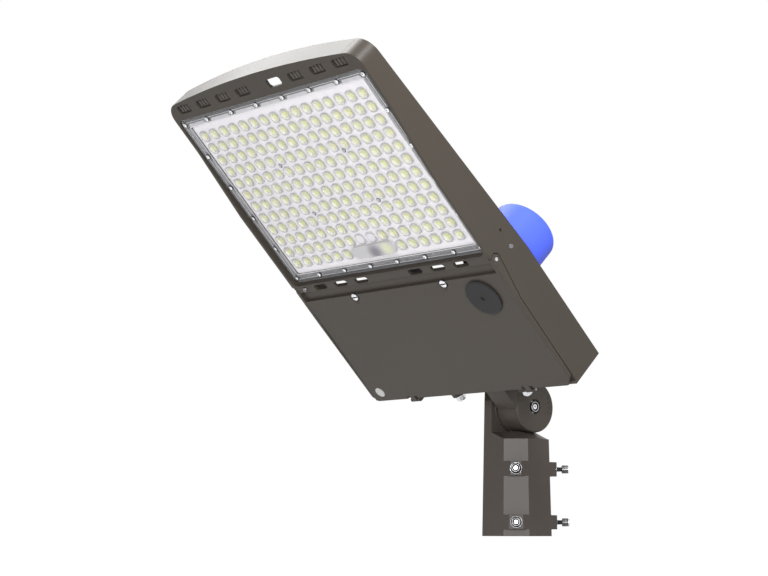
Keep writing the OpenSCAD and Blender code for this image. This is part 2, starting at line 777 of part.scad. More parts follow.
function rim_screw_places() = concat(
  [for (sx = [-1, 1], sy = [0, 1], k = [0 : 3])
    [sx * (k == 3 ? rim_x : (k + 0.5) * rim_x / 3.42), sy == 0 ? rim_front_y : rim_rear_y]],
  [for (sx = [-1, 1], k = [1 : 4])
    [sx * rim_x, rim_front_y + k * (rim_rear_y - rim_front_y) / 5]]
);

// Four inner screws stand midway between four lenses each
function board_screw_places() = [
  for (sx = [-1, 1], row = [3.5, 7.5]) [sx * 3 * lens_px, lens_y0 + row * lens_py]
];

// Lens places that the sensor window does not take
function is_window(i, j) = j == lens_rows - 1 && abs(i - (lens_cols - 1) / 2) * lens_px < window_w / 2;
function lens_places() = [
  for (i = [0 : lens_cols - 1], j = [0 : lens_rows - 1])
    if (!is_window(i, j)) [(i - (lens_cols - 1) / 2) * lens_px, lens_y0 + j * lens_py]
];
// The two middle lenses of the last full row carry no chip
function has_chip(p) = !(abs(p[0]) < lens_px * 0.6 && abs(p[1] - lens_y0 - (lens_rows - 2) * lens_py) < 1);

module led_board() {
  color(BOARD_WHITE) at_head() difference() {
    round_plate(board_w, plate_front_y + ledge_w, plate_rear_y - ledge_w, 5, board_face_z, board_z);
    for (p = board_screw_places()) {
      translate([p[0], p[1], board_z - 5]) cylinder(h = 10, r = 1.7, $fn = SMALL);
    }
    translate([0, tray_rear_y - 20, board_z - 5]) cylinder(h = 10, r = 3, $fn = SMALL);
  }
}

module led_chips() {
  color(CHIP_YELLOW) at_head() for (p = lens_places()) {
    if (has_chip(p)) {
      translate([p[0], p[1], board_face_z - chip_h / 2]) cube([chip_s, chip_s, chip_h], center = true);
    }
  }
}

module board_screws() {
  color(STEEL) at_head() for (p = board_screw_places()) {
    translate([p[0], p[1], board_face_z]) pan_screw(3.2, board_screw_h, 1.5, board_t + floor_t - 1.5);
  }
}

// Board part behind the window: a low carrier with a round eye
module light_sensor() {
  carrier = [34, 10];
  eye_r = 4;
  color(RUBBER) at_head() translate([-3, window_y, board_face_z]) {
    translate([0, 0, -0.4]) cube([carrier[0], carrier[1], 0.8], center = true);
    translate([-2, 0, -1.6]) cylinder(h = 1, r = eye_r, $fn = ROUND);
  }
}

module lens_gasket() {
  color(RUBBER) at_head() difference() {
    round_plate(plate_w - 1, plate_front_y + 0.5, plate_rear_y - 0.5, 8.5, plate_z + plate_t, seat_z);
    round_plate(board_w + 4, plate_front_y + ledge_w - 2, plate_rear_y - ledge_w + 2, 8, plate_z, seat_z + 1);
    for (p = rim_screw_places()) {
      translate([p[0], p[1], plate_z]) cylinder(h = 10, r = 2.2, $fn = SMALL);
    }
  }
}

module lens_dome(p) {
  dome_sphere_r = (lens_r * lens_r + lens_h * lens_h) / (2 * lens_h);
  translate([p[0], p[1], plate_z]) difference() {
    translate([0, 0, dome_sphere_r - lens_h]) sphere(dome_sphere_r, $fn = ROUND);
    translate([0, 0, dome_sphere_r + 0.5]) cube([50, 50, 2 * dome_sphere_r], center = true);
  }
}

// Long flat window with round ends, drawn in by inset
module window_plate(inset, z0, z1) {
  round_plate(window_w - 2 * inset, window_y - window_d / 2 + inset, window_y + window_d / 2 - inset,
              window_r - inset, z0, z1);
}

module lens_plate() {
  back_z = plate_z + plate_t;
  color(CLEAR) at_head() difference() {
    union() {
      round_plate(plate_w, plate_front_y, plate_rear_y, 9, plate_z, back_z);
      for (p = lens_places()) lens_dome(p);
    }
    // recess that takes the board
    round_plate(board_w + 1, plate_front_y + ledge_w - 0.5, plate_rear_y - ledge_w + 0.5, 6,
                plate_z + field_t, back_z + 1);
    window_plate(0, plate_z - 5, back_z + 1);
    // hollows over the heads of the board screws
    for (p = board_screw_places()) {
      translate([p[0], p[1], board_face_z - board_screw_h - gap]) cylinder(h = 5, r = 3.7, $fn = SMALL);
    }
    for (p = rim_screw_places()) {
      translate([p[0], p[1], plate_z - 1]) cylinder(h = plate_t + 2, r = 2.2, $fn = SMALL);
    }
  }
}

// Frosted cover, raised over the sensor
module sensor_window() {
  wall = 1.2;
  color([0.88, 0.88, 0.90, 0.8]) at_head() difference() {
    window_plate(0.1, plate_z - window_h, plate_z + field_t);
    window_plate(wall, plate_z - window_h + wall, plate_z + field_t + 1);
  }
}

module lens_screws() {
  color(STEEL) at_head() for (p = rim_screw_places()) {
    translate([p[0], p[1], plate_z]) pan_screw(3.6, 2.2, 2, plate_t + plate_gasket_t + rim_thread_l);
  }
}

// ---- Driver compartment ----

// Cases in the compartment are placed from its walls
driver_low = [-bay_x + 19, bay_front_y + 22, bay_top_z - 36];
driver_high = [-8, bay_rear_y - 45, bay_top_z];
foot_w = 12;
foot_t = 3;
surge_size = [52, 36, 27];
terminal_size = [54, 26, 18];
terminal_pitch = 11;
terminal_x = bay_x - 19 - terminal_size[0];
surge_x = terminal_x - 12 - surge_size[0];
function driver_screw_places() = [
  for (x = [driver_low[0] - foot_w / 2, driver_high[0] + foot_w / 2], share = [0.2, 0.8])
    [x, driver_low[1] * (1 - share) + driver_high[1] * share]
];

module driver() {
  color([0.72, 0.73, 0.74]) at_head() difference() {
    union() {
      block(driver_low, driver_high);
      block([driver_low[0] - foot_w, driver_low[1] + 2, bay_top_z - foot_t],
            [driver_high[0] + foot_w, driver_high[1] - 2, bay_top_z]);
    }
    for (p = driver_screw_places()) {
      translate([p[0], p[1], bay_top_z - 5]) cylinder(h = 8, r = 2.3, $fn = SMALL);
    }
  }
}

module driver_screws() {
  color(STEEL) at_head() for (p = driver_screw_places()) {
    translate([p[0], p[1], bay_top_z - foot_t]) pan_screw(4, 2.4, 2, 6);
  }
}

module surge_protector() {
  color([0.20, 0.22, 0.25]) at_head() {
    translate([surge_x, bay_rear_y - 22 - surge_size[1], bay_top_z - surge_size[2]]) cube(surge_size);
  }
}

module terminal_block() {
  rear = bay_rear_y - 30;
  color([0.88, 0.88, 0.84]) at_head() difference() {
    translate([terminal_x, rear - terminal_size[1], bay_top_z - terminal_size[2]]) cube(terminal_size);
    for (k = [-2 : 2]) {
      translate([terminal_x + terminal_size[0] / 2 + k * terminal_pitch, rear - terminal_size[1] / 2,
                 bay_top_z - terminal_size[2] - 1]) cylinder(h = 6, r = 3.2, $fn = SMALL);
    }
  }
}

module ground_screw() {
  color(STEEL) at_head() translate([ground_x, slot_strip_y, strip_z]) pan_screw(3.4, 2, 2, 3.3);
}

module side_screws() {
  color(STEEL) at_head() for (sx = [-1, 1]) {
    translate([sx * half_w, side_screw_y, side_screw_z]) rotate([0, -90 * sx, 0]) pan_screw(3.2, 1.4, 1.5, 8);
  }
}

module ear_pins() {
  color(STEEL) at_head() for (sx = [-1, 1]) {
    translate([sx * (half_w - cheek_t / 2 + 0.4), ear_y, ear_z]) x_cylinder(-cheek_t / 2 - 0.2, cheek_t / 2 + 0.2, 2.3, SMALL);
  }
}

module hinge_pins() {
  half = hinge_lug_w / 2 + lug_gap + fixed_lug_w;
  color(STEEL) at_head() for (sx = [-1, 1]) {
    translate([sx * hinge_x, hinge_y, hinge_z]) x_cylinder(-half, half, hinge_pin_r, ROUND);
  }
}

// ---- Door ----

module door_lugs() {
  for (sx = [-1, 1]) {
    translate([sx * hinge_x - hinge_lug_w / 2, 0, 0]) {
      translate([0, hinge_y, hinge_z]) rotate([0, 90, 0]) cylinder(h = hinge_lug_w, r = hinge_r, $fn = ROUND);
      block([0, rear_y - 8, door_z], [hinge_lug_w, hinge_y, hinge_z]);
    }
  }
}

// Side view of a cheek: thin at the rear, rising to a round ear at the front
module cheek_outline(grow) {
  polygon([
    [cheek_rear_y + grow, door_z - grow], [ear_y + 78, door_z - grow], [ear_y, ear_z - ear_r - grow],
    [ear_y, ear_z + ear_r + grow], [ear_y + 14, ear_z + 4.4 + grow], [ear_y + 58, door_z + 6.3 + grow],
    [cheek_rear_y + grow, door_z + 4.6 + grow]
  ]);
  translate([ear_y, ear_z]) circle(ear_r + grow, $fn = ROUND);
}

module door() {
  plate_x = half_w - 1;
  color(BRONZE) at_head() difference() {
    union() {
      // plate with a thick front bar, cut to a plan with rounded rear corners
      intersection() {
        rotate([90, 0, 90]) linear_extrude(2 * plate_x, center = true) {
          polygon([
            [rear_y - 1.5, door_z], [door_front_y, door_front_z], [door_front_y, mate_z - gap],
            [wall_front_y - 2, mate_z - gap], [wall_front_y - 2, door_in_z], [rear_y - 4.6, door_in_z],
            [rear_y - 4.6, hinge_z], [rear_y - 1.5, hinge_z]
          ]);
        }
        round_plate(2 * plate_x, door_front_y - 40, rear_y - 1.5, door_corner_r, door_z - 1, mate_z);
      }
      mirror_x() translate([half_w - cheek_t, 0, 0]) rotate([90, 0, 90]) linear_extrude(cheek_t) {
        cheek_outline(0);
      }
      door_lugs();
    }
    // rounded lower edge along each side
    mirror_x() difference() {
      block([half_w - 4, ear_y - 20, door_z - 1], [half_w + 1, rear_y, door_z + 4]);
      translate([half_w - 4, rear_y + 1, door_z + 4]) rotate([90, 0, 0]) cylinder(h = 230, r = 4, $fn = ROUND);
    }
    mirror_x() difference() {
      block([half_w - cheek_t - 1, cheek_rear_y - door_corner_r, door_z - 1], [half_w + 1, rear_y, mate_z + 3]);
      translate([half_w - door_corner_r, cheek_rear_y - door_corner_r, door_z - 2]) {
        cylinder(h = 20, r = door_corner_r, $fn = ROUND);
      }
    }
    for (sx = [-1, 1]) {
      // screw scoops at the front edge
      translate([sx * captive_x, captive_y, door_z - 1]) cylinder(h = captive_seat_z - door_z + 1, r = 6.6, $fn = ROUND);
      translate([sx * captive_x, captive_y + 1, door_z - 16]) sphere(20, $fn = ROUND);
      translate([sx * captive_x, captive_y, door_z - 1]) cylinder(h = 12, r = 2.5 + thread_fit, $fn = SMALL);
      // notches beside the hinge lugs
      for (side = [-1, 1]) {
        notch_w = fixed_lug_w + 2 * lug_gap + 1;
        x = sx * hinge_x + side * (hinge_lug_w + notch_w) / 2;
        block([x - notch_w / 2, rear_y - 5, door_z - 1], [x + notch_w / 2, rear_y, door_in_z + 1]);
      }
      translate([sx * hinge_x, hinge_y, hinge_z]) x_cylinder(-20, 20, hinge_pin_r + bolt_fit, ROUND);
      translate([sx * half_w, ear_y, ear_z]) x_cylinder(-20, 20, 2.3 + thread_fit, SMALL);
    }
    translate([plug_x, plug_y, door_z - 1]) cylinder(h = 12, r = plug_stem_r + thread_fit, $fn = ROUND);
    translate([vent_x, vent_y, door_z - 1]) cylinder(h = 2.2, r = vent_r + 0.5, $fn = ROUND);
    translate([vent_x, vent_y, door_z - 1]) cylinder(h = 12, r = 5 + thread_fit, $fn = ROUND);
  }
}

module door_gasket() {
  out_x = bay_x + 4;
  color(RUBBER) at_head() difference() {
    round_plate(2 * out_x, wall_front_y + 1, bay_rear_y + 3.5, 7, door_in_z, mate_z - gap);
    round_plate(2 * out_x - 11, wall_front_y + 6.5, bay_rear_y - 2, 4, door_z, mate_z + 1);
  }
}

module hole_plug() {
  // the stem ends level with the rim of the compartment
  plug_stem_h = mate_z - gap - door_z - 1.3;
  color([0.26, 0.26, 0.27]) at_head() translate([plug_x, plug_y, door_z + 1.3]) difference() {
    union() {
      translate([0, 0, -2]) cylinder(h = 2, r = plug_r, $fn = FINE);
      translate([0, 0, -2.8]) cylinder(h = 0.8, r1 = plug_r - 2.4, r2 = plug_r, $fn = FINE);
      translate([0, 0, -1]) cylinder(h = plug_stem_h + 1, r = plug_stem_r, $fn = ROUND);
    }
    translate([0, 0, -4]) cylinder(h = 2.4, r = 3, $fn = SMALL);
    translate([0, 0, 0.5]) cylinder(h = 6, r = plug_stem_r - 1.8, $fn = SMALL);
  }
}

module breather_vent() {
  color([0.66, 0.66, 0.66]) at_head() translate([vent_x, vent_y, door_z + 1.2]) {
    translate([0, 0, -1]) cylinder(h = 1, r = vent_r, $fn = ROUND);
    translate([0, 0, -0.5]) cylinder(h = 5.5, r = 5, $fn = SMALL);
  }
}

module captive_screw(side) {
  color(STEEL) at_head() translate([side * captive_x, captive_y, captive_seat_z]) difference() {
    union() {
      translate([0, 0, -3]) cylinder(h = 3, r = 5.6, $fn = ROUND);
      translate([0, 0, -1]) cylinder(h = 13, r = 2.5, $fn = SMALL);
    }
    translate([0, 0, -3]) cube([12, 1.4, 2.6], center = true);
  }
}

// ---- Control receptacle and shorting cap ----

module at_cap() {
  at_head() translate([cap_x, pot_y, 0]) children();
}

// Ring sector of a given middle radius, thickness and span, centred on an angle
module arc_wall(r, t, span, angle, z0, z1) {
  translate([0, 0, z0]) linear_extrude(z1 - z0) intersection() {
    difference() {
      circle(r + t / 2, $fn = FINE);
      circle(r - t / 2, $fn = FINE);
    }
    rotate([0, 0, angle]) polygon([[0, 0], [60, -60 * tan(span / 2)], [60, 60 * tan(span / 2)]]);
  }
}

module receptacle() {
  base_z = pad_z + seat_gasket_t;
  color(RUBBER) at_cap() difference() {
    union() {
      translate([0, 0, base_z]) cylinder(h = 6, r = pot_r - 0.5, $fn = FINE);
      translate([0, 0, base_z]) cylinder(h = tower_top_z - base_z, r = 30, $fn = FINE);
      translate([0, 0, pad_z - 16]) cylinder(h = 20, r = 25, $fn = FINE);
    }
    for (a = [30, 150, 270]) {
      arc_wall(blade_r, blade_t + 1.4, blade_span + 2 * cap_turn + 10, a, tower_top_z - 12.5, tower_top_z + 1);
    }
    for (a = [45 : 90 : 315]) {
      translate([seat_screw_r * cos(a), seat_screw_r * sin(a), base_z - 1]) cylinder(h = 10, r = 2.2, $fn = SMALL);
      translate([seat_screw_r * cos(a), seat_screw_r * sin(a), flange_top_z - 2.6]) cylinder(h = 10, r = 3.6, $fn = SMALL);
    }
  }
}

module receptacle_gasket() {
  color([0.20, 0.20, 0.21]) at_cap() translate([0, 0, pad_z]) difference() {
    cylinder(h = seat_gasket_t, r = pot_r - 0.5, $fn = FINE);
    translate([0, 0, -1]) cylinder(h = 4, r = 26, $fn = FINE);
    for (a = [45 : 90 : 315]) {
      translate([seat_screw_r * cos(a), seat_screw_r * sin(a), -1]) cylinder(h = 4, r = 2.2, $fn = SMALL);
    }
  }
}

module receptacle_screws() {
  color(STEEL) at_cap() for (a = [45 : 90 : 315]) {
    translate([seat_screw_r * cos(a), seat_screw_r * sin(a), flange_top_z - 2.6]) mirror([0, 0, 1]) pan_screw(3.3, 2, 2, 12);
  }
}

module cap_seal() {
  color(RUBBER) at_cap() translate([0, 0, flange_top_z + gap]) difference() {
    cylinder(h = skirt_z - flange_top_z - 2 * gap, r = cap_r - 0.8, $fn = FINE);
    translate([0, 0, -1]) cylinder(h = 10, r = 33, $fn = FINE);
  }
}

// Revolved shell with a rounded shoulder and an inner floor that carries the blades
module shorting_cap() {
  shoulder = 7;
  top = skirt_z + cap_h;
  floor_z = tower_top_z + 0.6;
  color(BLUE) at_cap() {
    rotate_extrude($fn = FINE) union() {
      difference() {
        union() {
          translate([0, skirt_z]) square([cap_r, cap_h - shoulder]);
          translate([0, skirt_z]) square([cap_r - shoulder, cap_h]);
          translate([cap_r - shoulder, top - shoulder]) circle(shoulder, $fn = FINE);
        }
        translate([-60, skirt_z - 1]) square([60, cap_h + 2]);
        translate([0, skirt_z - 1]) square([cap_r - cap_t, floor_z - skirt_z + 1]);
        translate([0, floor_z + 5]) square([cap_r - cap_t - 4, top - cap_t - floor_z - 5]);
      }
    }
    // grip lugs near the skirt
    for (a = grip_angles) {
      rotate([0, 0, a]) block([cap_r - 1, -4, skirt_z], [cap_r + 2.6, 4, skirt_z + 15]);
    }
  }
}

module cap_blades() {
  floor_z = tower_top_z + 0.6;
  color([0.80, 0.66, 0.36]) at_cap() for (a = [30, 150, 270]) {
    arc_wall(blade_r, blade_t, blade_span, a, floor_z - 11, floor_z);
  }
}

// Plate inside the cap that joins the blades
module cap_jumper() {
  floor_z = tower_top_z + 0.6;
  color([0.72, 0.58, 0.32]) at_cap() translate([0, 0, floor_z + 5]) difference() {
    cylinder(h = 1.2, r = 22, $fn = ROUND);
    translate([0, 0, -1]) cylinder(h = 4, r = 12, $fn = ROUND);
  }
}

slip_fitter();
set_screw(screw_angles[0], screw_row_high);  // set_screw_front_upper
set_screw(screw_angles[0], screw_row_low);  // set_screw_front_lower
set_screw(screw_angles[1], screw_row_high);  // set_screw_side_upper
set_screw(screw_angles[1], screw_row_low);  // set_screw_side_lower
knuckle_bolt();
knuckle_washer();
knuckle_arm();
arm_gasket();
arm_bolts();
wire_grommet();
housing();
led_board();
led_chips();
board_screws();
light_sensor();
lens_gasket();
lens_plate();
sensor_window();
lens_screws();
driver();
driver_screws();
surge_protector();
terminal_block();
ground_screw();
side_screws();
ear_pins();
hinge_pins();
receptacle();
receptacle_gasket();
receptacle_screws();
door();
door_gasket();
hole_plug();
breather_vent();
captive_screw(-1);  // captive_screw_left
captive_screw(1);  // captive_screw_right
cap_seal();
shorting_cap();
cap_blades();
cap_jumper();
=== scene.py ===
import json
from math import cos, pi, radians, sin, tau

import bmesh
import bpy
import numpy as np
from mathutils import Matrix, Vector


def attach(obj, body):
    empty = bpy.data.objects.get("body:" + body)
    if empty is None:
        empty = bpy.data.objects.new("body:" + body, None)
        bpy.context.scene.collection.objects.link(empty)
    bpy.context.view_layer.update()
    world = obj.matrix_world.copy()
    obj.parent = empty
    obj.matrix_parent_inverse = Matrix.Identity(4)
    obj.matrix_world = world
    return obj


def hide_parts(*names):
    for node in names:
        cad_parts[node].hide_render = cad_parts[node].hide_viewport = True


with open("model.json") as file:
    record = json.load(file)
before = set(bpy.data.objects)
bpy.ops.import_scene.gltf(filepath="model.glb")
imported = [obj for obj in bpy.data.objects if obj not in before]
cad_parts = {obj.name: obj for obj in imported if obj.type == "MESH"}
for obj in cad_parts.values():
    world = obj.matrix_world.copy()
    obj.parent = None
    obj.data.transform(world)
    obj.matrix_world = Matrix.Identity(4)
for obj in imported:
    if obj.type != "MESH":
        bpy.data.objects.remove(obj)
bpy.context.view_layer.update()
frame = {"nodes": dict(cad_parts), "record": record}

# A flat outdoor LED lamp, tilted on a slip fitter. Sizes are in millimetres. The head's pieces are made in
# its own level frame, whose origin is the pivot: X across, Y from nose to rear, Z up through its top.
MM = 0.001
PIVOT = np.array([0.0, 0.0, 165.0])
TILT = radians(45)
UP = (0.0, 0.0, 1.0)

# ---------------------------------------------------------------------------------------------
# Camera: a long lens a little under the lamp, looking up at it
# ---------------------------------------------------------------------------------------------
VIEW_AZIMUTH = radians(50.07)
VIEW_ELEVATION = radians(-7.47)
VIEW_ROLL = radians(0.11)
VIEW_DISTANCE = 2.5
FOCAL_PIXELS = 1924.06
IMAGE_SIZE = (768, 576)
PIVOT_PIXEL = (516.28, 408.08)
SENSOR_WIDTH = 36.0


def place_camera():
    """Puts the pivot at its pixel, at the view distance, for a camera that looks along the view angles."""
    az, el, roll = VIEW_AZIMUTH, VIEW_ELEVATION, VIEW_ROLL
    look = -Vector((cos(el) * sin(az), -cos(el) * cos(az), sin(el)))
    level = Vector((cos(az), sin(az), 0.0))
    upright = level.cross(look)
    right = cos(roll) * level + sin(roll) * upright
    up = cos(roll) * upright - sin(roll) * level
    across = (PIVOT_PIXEL[0] - IMAGE_SIZE[0] / 2) / FOCAL_PIXELS * VIEW_DISTANCE
    down = (PIVOT_PIXEL[1] - IMAGE_SIZE[1] / 2) / FOCAL_PIXELS * VIEW_DISTANCE
    eye = Vector(PIVOT * MM) - VIEW_DISTANCE * look - across * right + down * up
    data = bpy.data.cameras.new("camera")
    data.sensor_width = SENSOR_WIDTH
    data.lens = FOCAL_PIXELS * SENSOR_WIDTH / IMAGE_SIZE[0]
    data.clip_end = 100
    camera = bpy.data.objects.new("camera", data)
    turn = Matrix((right, up, -look)).transposed().to_4x4()
    camera.matrix_world = Matrix.Translation(eye) @ turn
    bpy.context.collection.objects.link(camera)
    bpy.context.scene.camera = camera


place_camera()


def from_head(points):
    """Head-frame points in millimetres to the object's frame in metres: tilted about X, then lifted."""
    x, y, z = np.asarray(points, float).T
    c, s = cos(TILT), sin(TILT)
    return np.stack([x, c * y + s * z, c * z - s * y], axis=1) * MM + PIVOT * MM


def from_fitter(points):
    """Slip fitter points in millimetres, whose origin is the foot of its axis, to metres."""
    return np.asarray(points, float) * MM


# ---------------------------------------------------------------------------------------------
# Shader maths and material building
# ---------------------------------------------------------------------------------------------
class Value:
    """A shader socket whose sums, differences and products add their own Math nodes."""

    def __init__(self, build, socket):
        self.build = build
        self.socket = socket

    def _math(self, operation, a, b, clamp=False):
        out = self.build.node("ShaderNodeMath", {"operation": operation, "use_clamp": clamp}, {0: a, 1: b})
        return Value(self.build, out.outputs[0])

    def __add__(self, other):
        return self._math("ADD", self, other)

    __radd__ = __add__

    def __sub__(self, other):
        return self._math("SUBTRACT", self, other)

    def __rsub__(self, other):
        return self._math("SUBTRACT", other, self)

    def __mul__(self, other):
        return self._math("MULTIPLY", self, other)

    __rmul__ = __mul__

    def clamped(self):
        """The value held between 0 and 1."""
        return self._math("ADD", self, 0.0, clamp=True)

    def smooth(self, low, high):
        """0 below low, 1 above high, and a smooth step between them."""
        step = self.build.node("ShaderNodeMapRange", {"interpolation_type": "SMOOTHSTEP"},
                               {0: self, 1: low, 2: high, 3: 0.0, 4: 1.0})
        return Value(self.build, step.outputs[0])


class Nodes:
    """A node tree, with one method that adds every other kind of node."""

    def __init__(self, tree):
        self.tree = tree

    def node(self, kind, settings=None, inputs=None):
        """A node of this kind, its settings by name and its inputs as numbers, colours or links."""
        made = self.tree.nodes.new(kind)
        for key, value in (settings or {}).items():
            setattr(made, key, value)
        for key, value in (inputs or {}).items():
            self.feed(made.inputs[key], value)
        return made

    def feed(self, socket, value):
        """Links a value or a socket to an input, or sets the input to a number or a colour."""
        if isinstance(value, Value):
            self.tree.links.new(value.socket, socket)
        elif isinstance(value, bpy.types.NodeSocket):
            self.tree.links.new(value, socket)
        elif isinstance(value, tuple) and len(value) == 3 and socket.type == "RGBA":
            socket.default_value = (*value, 1.0)
        else:
            socket.default_value = value

    def background_ray(self):
        """1 for the rays that see the plain background: from the camera, and on from metal or glass."""
        path = self.node("ShaderNodeLightPath").outputs
        camera, glossy, through = [Value(self, path[f"Is {kind} Ray"])
                                   for kind in ("Camera", "Glossy", "Transmission")]
        return (camera + glossy + through).clamped()


class Finish(Nodes):
    """A node material on a Principled shader. Constants are named as its sockets are, with underscores."""

    def __init__(self, name, **constants):
        self.material = bpy.data.materials.new(name)
        self.material.use_nodes = True
        super().__init__(self.material.node_tree)
        self.shader = self.tree.nodes["Principled BSDF"]
        for key, value in constants.items():
            self.set(key.replace("_", " "), value)

    def set(self, socket, value):
        """Links or sets one of the shader's sockets."""
        self.feed(self.shader.inputs[socket], value)

    def coordinates(self, scale=(1.0, 1.0, 1.0)):
        """Object coordinates in metres, times a scale."""
        where = self.node("ShaderNodeTexCoord").outputs["Object"]
        return self.node("ShaderNodeMapping", {}, {"Vector": where, "Scale": scale}).outputs[0]

    def noise(self, scale, detail=3.0, rough=0.5, stretch=(1.0, 1.0, 1.0)):
        """Fractal noise as a value around 0.5; scale is in features per metre."""
        inputs = {"Vector": self.coordinates(stretch), "Scale": scale, "Detail": detail, "Roughness": rough}
        return Value(self, self.node("ShaderNodeTexNoise", {}, inputs).outputs["Fac"])

    def attribute(self, name):
        """A number stored at each point of the mesh."""
        return Value(self, self.node("ShaderNodeAttribute", {"attribute_name": name}).outputs["Fac"])

    def distance(self, centre):
        """Distance in metres from a point of the object's frame."""
        inputs = {0: self.coordinates(), 1: centre}
        away = self.node("ShaderNodeVectorMath", {"operation": "DISTANCE"}, inputs)
        return Value(self, away.outputs["Value"])

    def blend(self, factor, low, high):
        """Colour between low and high by a value."""
        made = self.node("ShaderNodeMix", {"data_type": "RGBA"}, {"Factor": factor, 6: low, 7: high})
        return made.outputs[2]

    def relief(self, height, depth, strength, round_edges=0.0):
        """Feeds the shader's Normal from a height of a depth, over edges rounded to a radius, in metres."""
        inputs = {"Height": height, "Distance": depth, "Strength": strength}
        if round_edges:
            rounded = self.node("ShaderNodeBevel", {"samples": 4}, {"Radius": round_edges})
            inputs["Normal"] = rounded.outputs[0]
        self.set("Normal", self.node("ShaderNodeBump", {}, inputs).outputs[0])


# Specular level of the finishes that hardly mirror their surroundings
DULL_SHINE = 0.18


def powder_coat(name, low, high, rough):
    """Fine textured powder coat: faint cloudy tone, a tight orange-peel grain, rounded cast edges."""
    coat = Finish(name, Specular_IOR_Level=DULL_SHINE)
    cloud = coat.noise(9.0, 4.0)
    fleck = coat.noise(1400.0, 2.0)
    coat.set("Base Color", coat.blend((cloud * 0.7 + fleck * 0.5 - 0.1).clamped(), low, high))
    coat.set("Roughness", rough + 0.10 * (fleck - 0.5) + 0.08 * (cloud - 0.5))
    coat.relief(fleck, depth=0.00004, strength=0.35, round_edges=0.0009)
    return coat.material


def turned_metal(name, tone, rough=0.24):
    """Plain bright metal with fine drawn lines and faint smudges."""
    metal = Finish(name, Metallic=1.0)
    lines = metal.noise(900.0, 3.0, 0.6, (1.0, 1.0, 6.0))
    smudge = metal.noise(120.0, 3.0)
    metal.set("Base Color", metal.blend(smudge, tuple(0.82 * c for c in tone), tone))
    metal.set("Roughness", rough + 0.16 * (lines - 0.5) + 0.12 * (smudge - 0.5))
    metal.relief(lines, depth=0.00003, strength=0.3, round_edges=0.0003)
    return metal.material


def painted_shine_steel():
    """Steel whose bright crests and black valleys are painted highlights and painted shade, from the
    piece's painted shine attribute.
    """
    metal = Finish("steel with painted highlights and shade", Metallic=1.0)
    smudge = metal.noise(300.0, 3.0)
    painted_shine = (metal.attribute("painted_shine") * (0.7 + 0.6 * smudge)).clamped()
    # Colour from near black to near white by the painted shine: painted highlights and painted shade
    metal.set("Base Color", metal.blend(painted_shine * painted_shine, (0.010, 0.010, 0.011), (0.90, 0.90, 0.92)))
    metal.set("Roughness", 0.40 - 0.14 * painted_shine)
    return metal.material


def moulded(name, low, high, rough, grain=2200.0, edge=0.0006, **constants):
    """Moulded plastic or rubber: nearly even colour, a fine matt grain and edges rounded to a radius."""
    plastic = Finish(name, **constants)
    tone = plastic.noise(30.0, 3.0)
    fine = plastic.noise(grain, 2.0)
    plastic.set("Base Color", plastic.blend(tone, low, high))
    plastic.set("Roughness", rough + 0.12 * (fine - 0.5))
    plastic.relief(fine, depth=0.00003, strength=0.3, round_edges=edge)
    return plastic.material


def clear_plastic():
    """Clear moulded lens plate. A dome shows its chip enlarged, with a pale heart that is a painted
    highlight and a dark outline that is painted shade.
    Point attributes: reach, 1 at a dome's foot; lit, how much of its chip a dome shows, less near the board
    screws by painted shade; rim, 1 on the frame round the lens field; tint_and_painted_light, how pale the
    frame is: the pale board and the dark housing showing through, and painted highlights along its ridges."""
    lens = Finish("clear lens plastic", IOR=1.49)
    reach, lit = lens.attribute("reach"), lens.attribute("lit")
    rim, tint_and_painted_light = lens.attribute("rim"), lens.attribute("tint_and_painted_light")
    haze = lens.noise(260.0, 2.0)
    # Painted shade: a dark outline round each dome's foot
    outline = reach.smooth(0.66, 0.93) * (1 - reach.smooth(1.0, 1.1))
    # The chip's enlarged image, less where lit is low: painted shade near the board screws
    chip = (1 - reach.smooth(0.55, 0.84)) * lit
    # Painted highlight: a pale heart on each dome's pole
    heart = 1 - reach.smooth(0.30, 0.56)
    yellow = lens.blend(heart, (0.58, 0.59, 0.29), (0.84, 0.85, 0.66))
    plain = lens.blend(chip.clamped(), (0.72, 0.72, 0.72), yellow)
    inside = lens.blend(outline, plain, (0.27, 0.27, 0.29))
    # Frame tone: the dark housing and the pale board showing through, with painted highlights along its
    # ridges
    rim_tone = lens.blend(tint_and_painted_light, (0.20, 0.20, 0.205), (0.86, 0.86, 0.88))
    lens.set("Base Color", lens.blend(rim, inside, rim_tone))
    glass = 0.06 + 0.50 * outline + 0.52 * chip + 0.05 * haze
    edge = 0.34 + 0.5 * tint_and_painted_light
    lens.set("Alpha", (glass * (1 - rim) + edge * rim).clamped())
    lens.set("Roughness", 0.10 + 0.08 * haze)
    return lens.material


def pocket_plastic():
    """Pale hollows of the lens plate's rim, where the white board shows through, darker and clearer by
    painted shade where their tint value is low.
    """
    pocket = Finish("rim pockets", IOR=1.49)
    haze = pocket.noise(180.0, 2.0)
    tint_and_painted_light = pocket.attribute("tint_and_painted_light")
    pale = pocket.blend(haze, (0.50, 0.49, 0.52), (0.64, 0.63, 0.66))
    pocket.set("Base Color", pocket.blend(tint_and_painted_light, (0.16, 0.155, 0.165), pale))
    pocket.set("Roughness", 0.3 + 0.1 * haze)
    pocket.set("Alpha", 0.30 + 0.42 * tint_and_painted_light + 0.1 * haze)
    return pocket.material


# What shows through the frosted window, in the head's frame
DARK_SPOT = (2.0, -298.0, -41.5)
YELLOW_SPOT = (26.0, -300.0, -41.5)


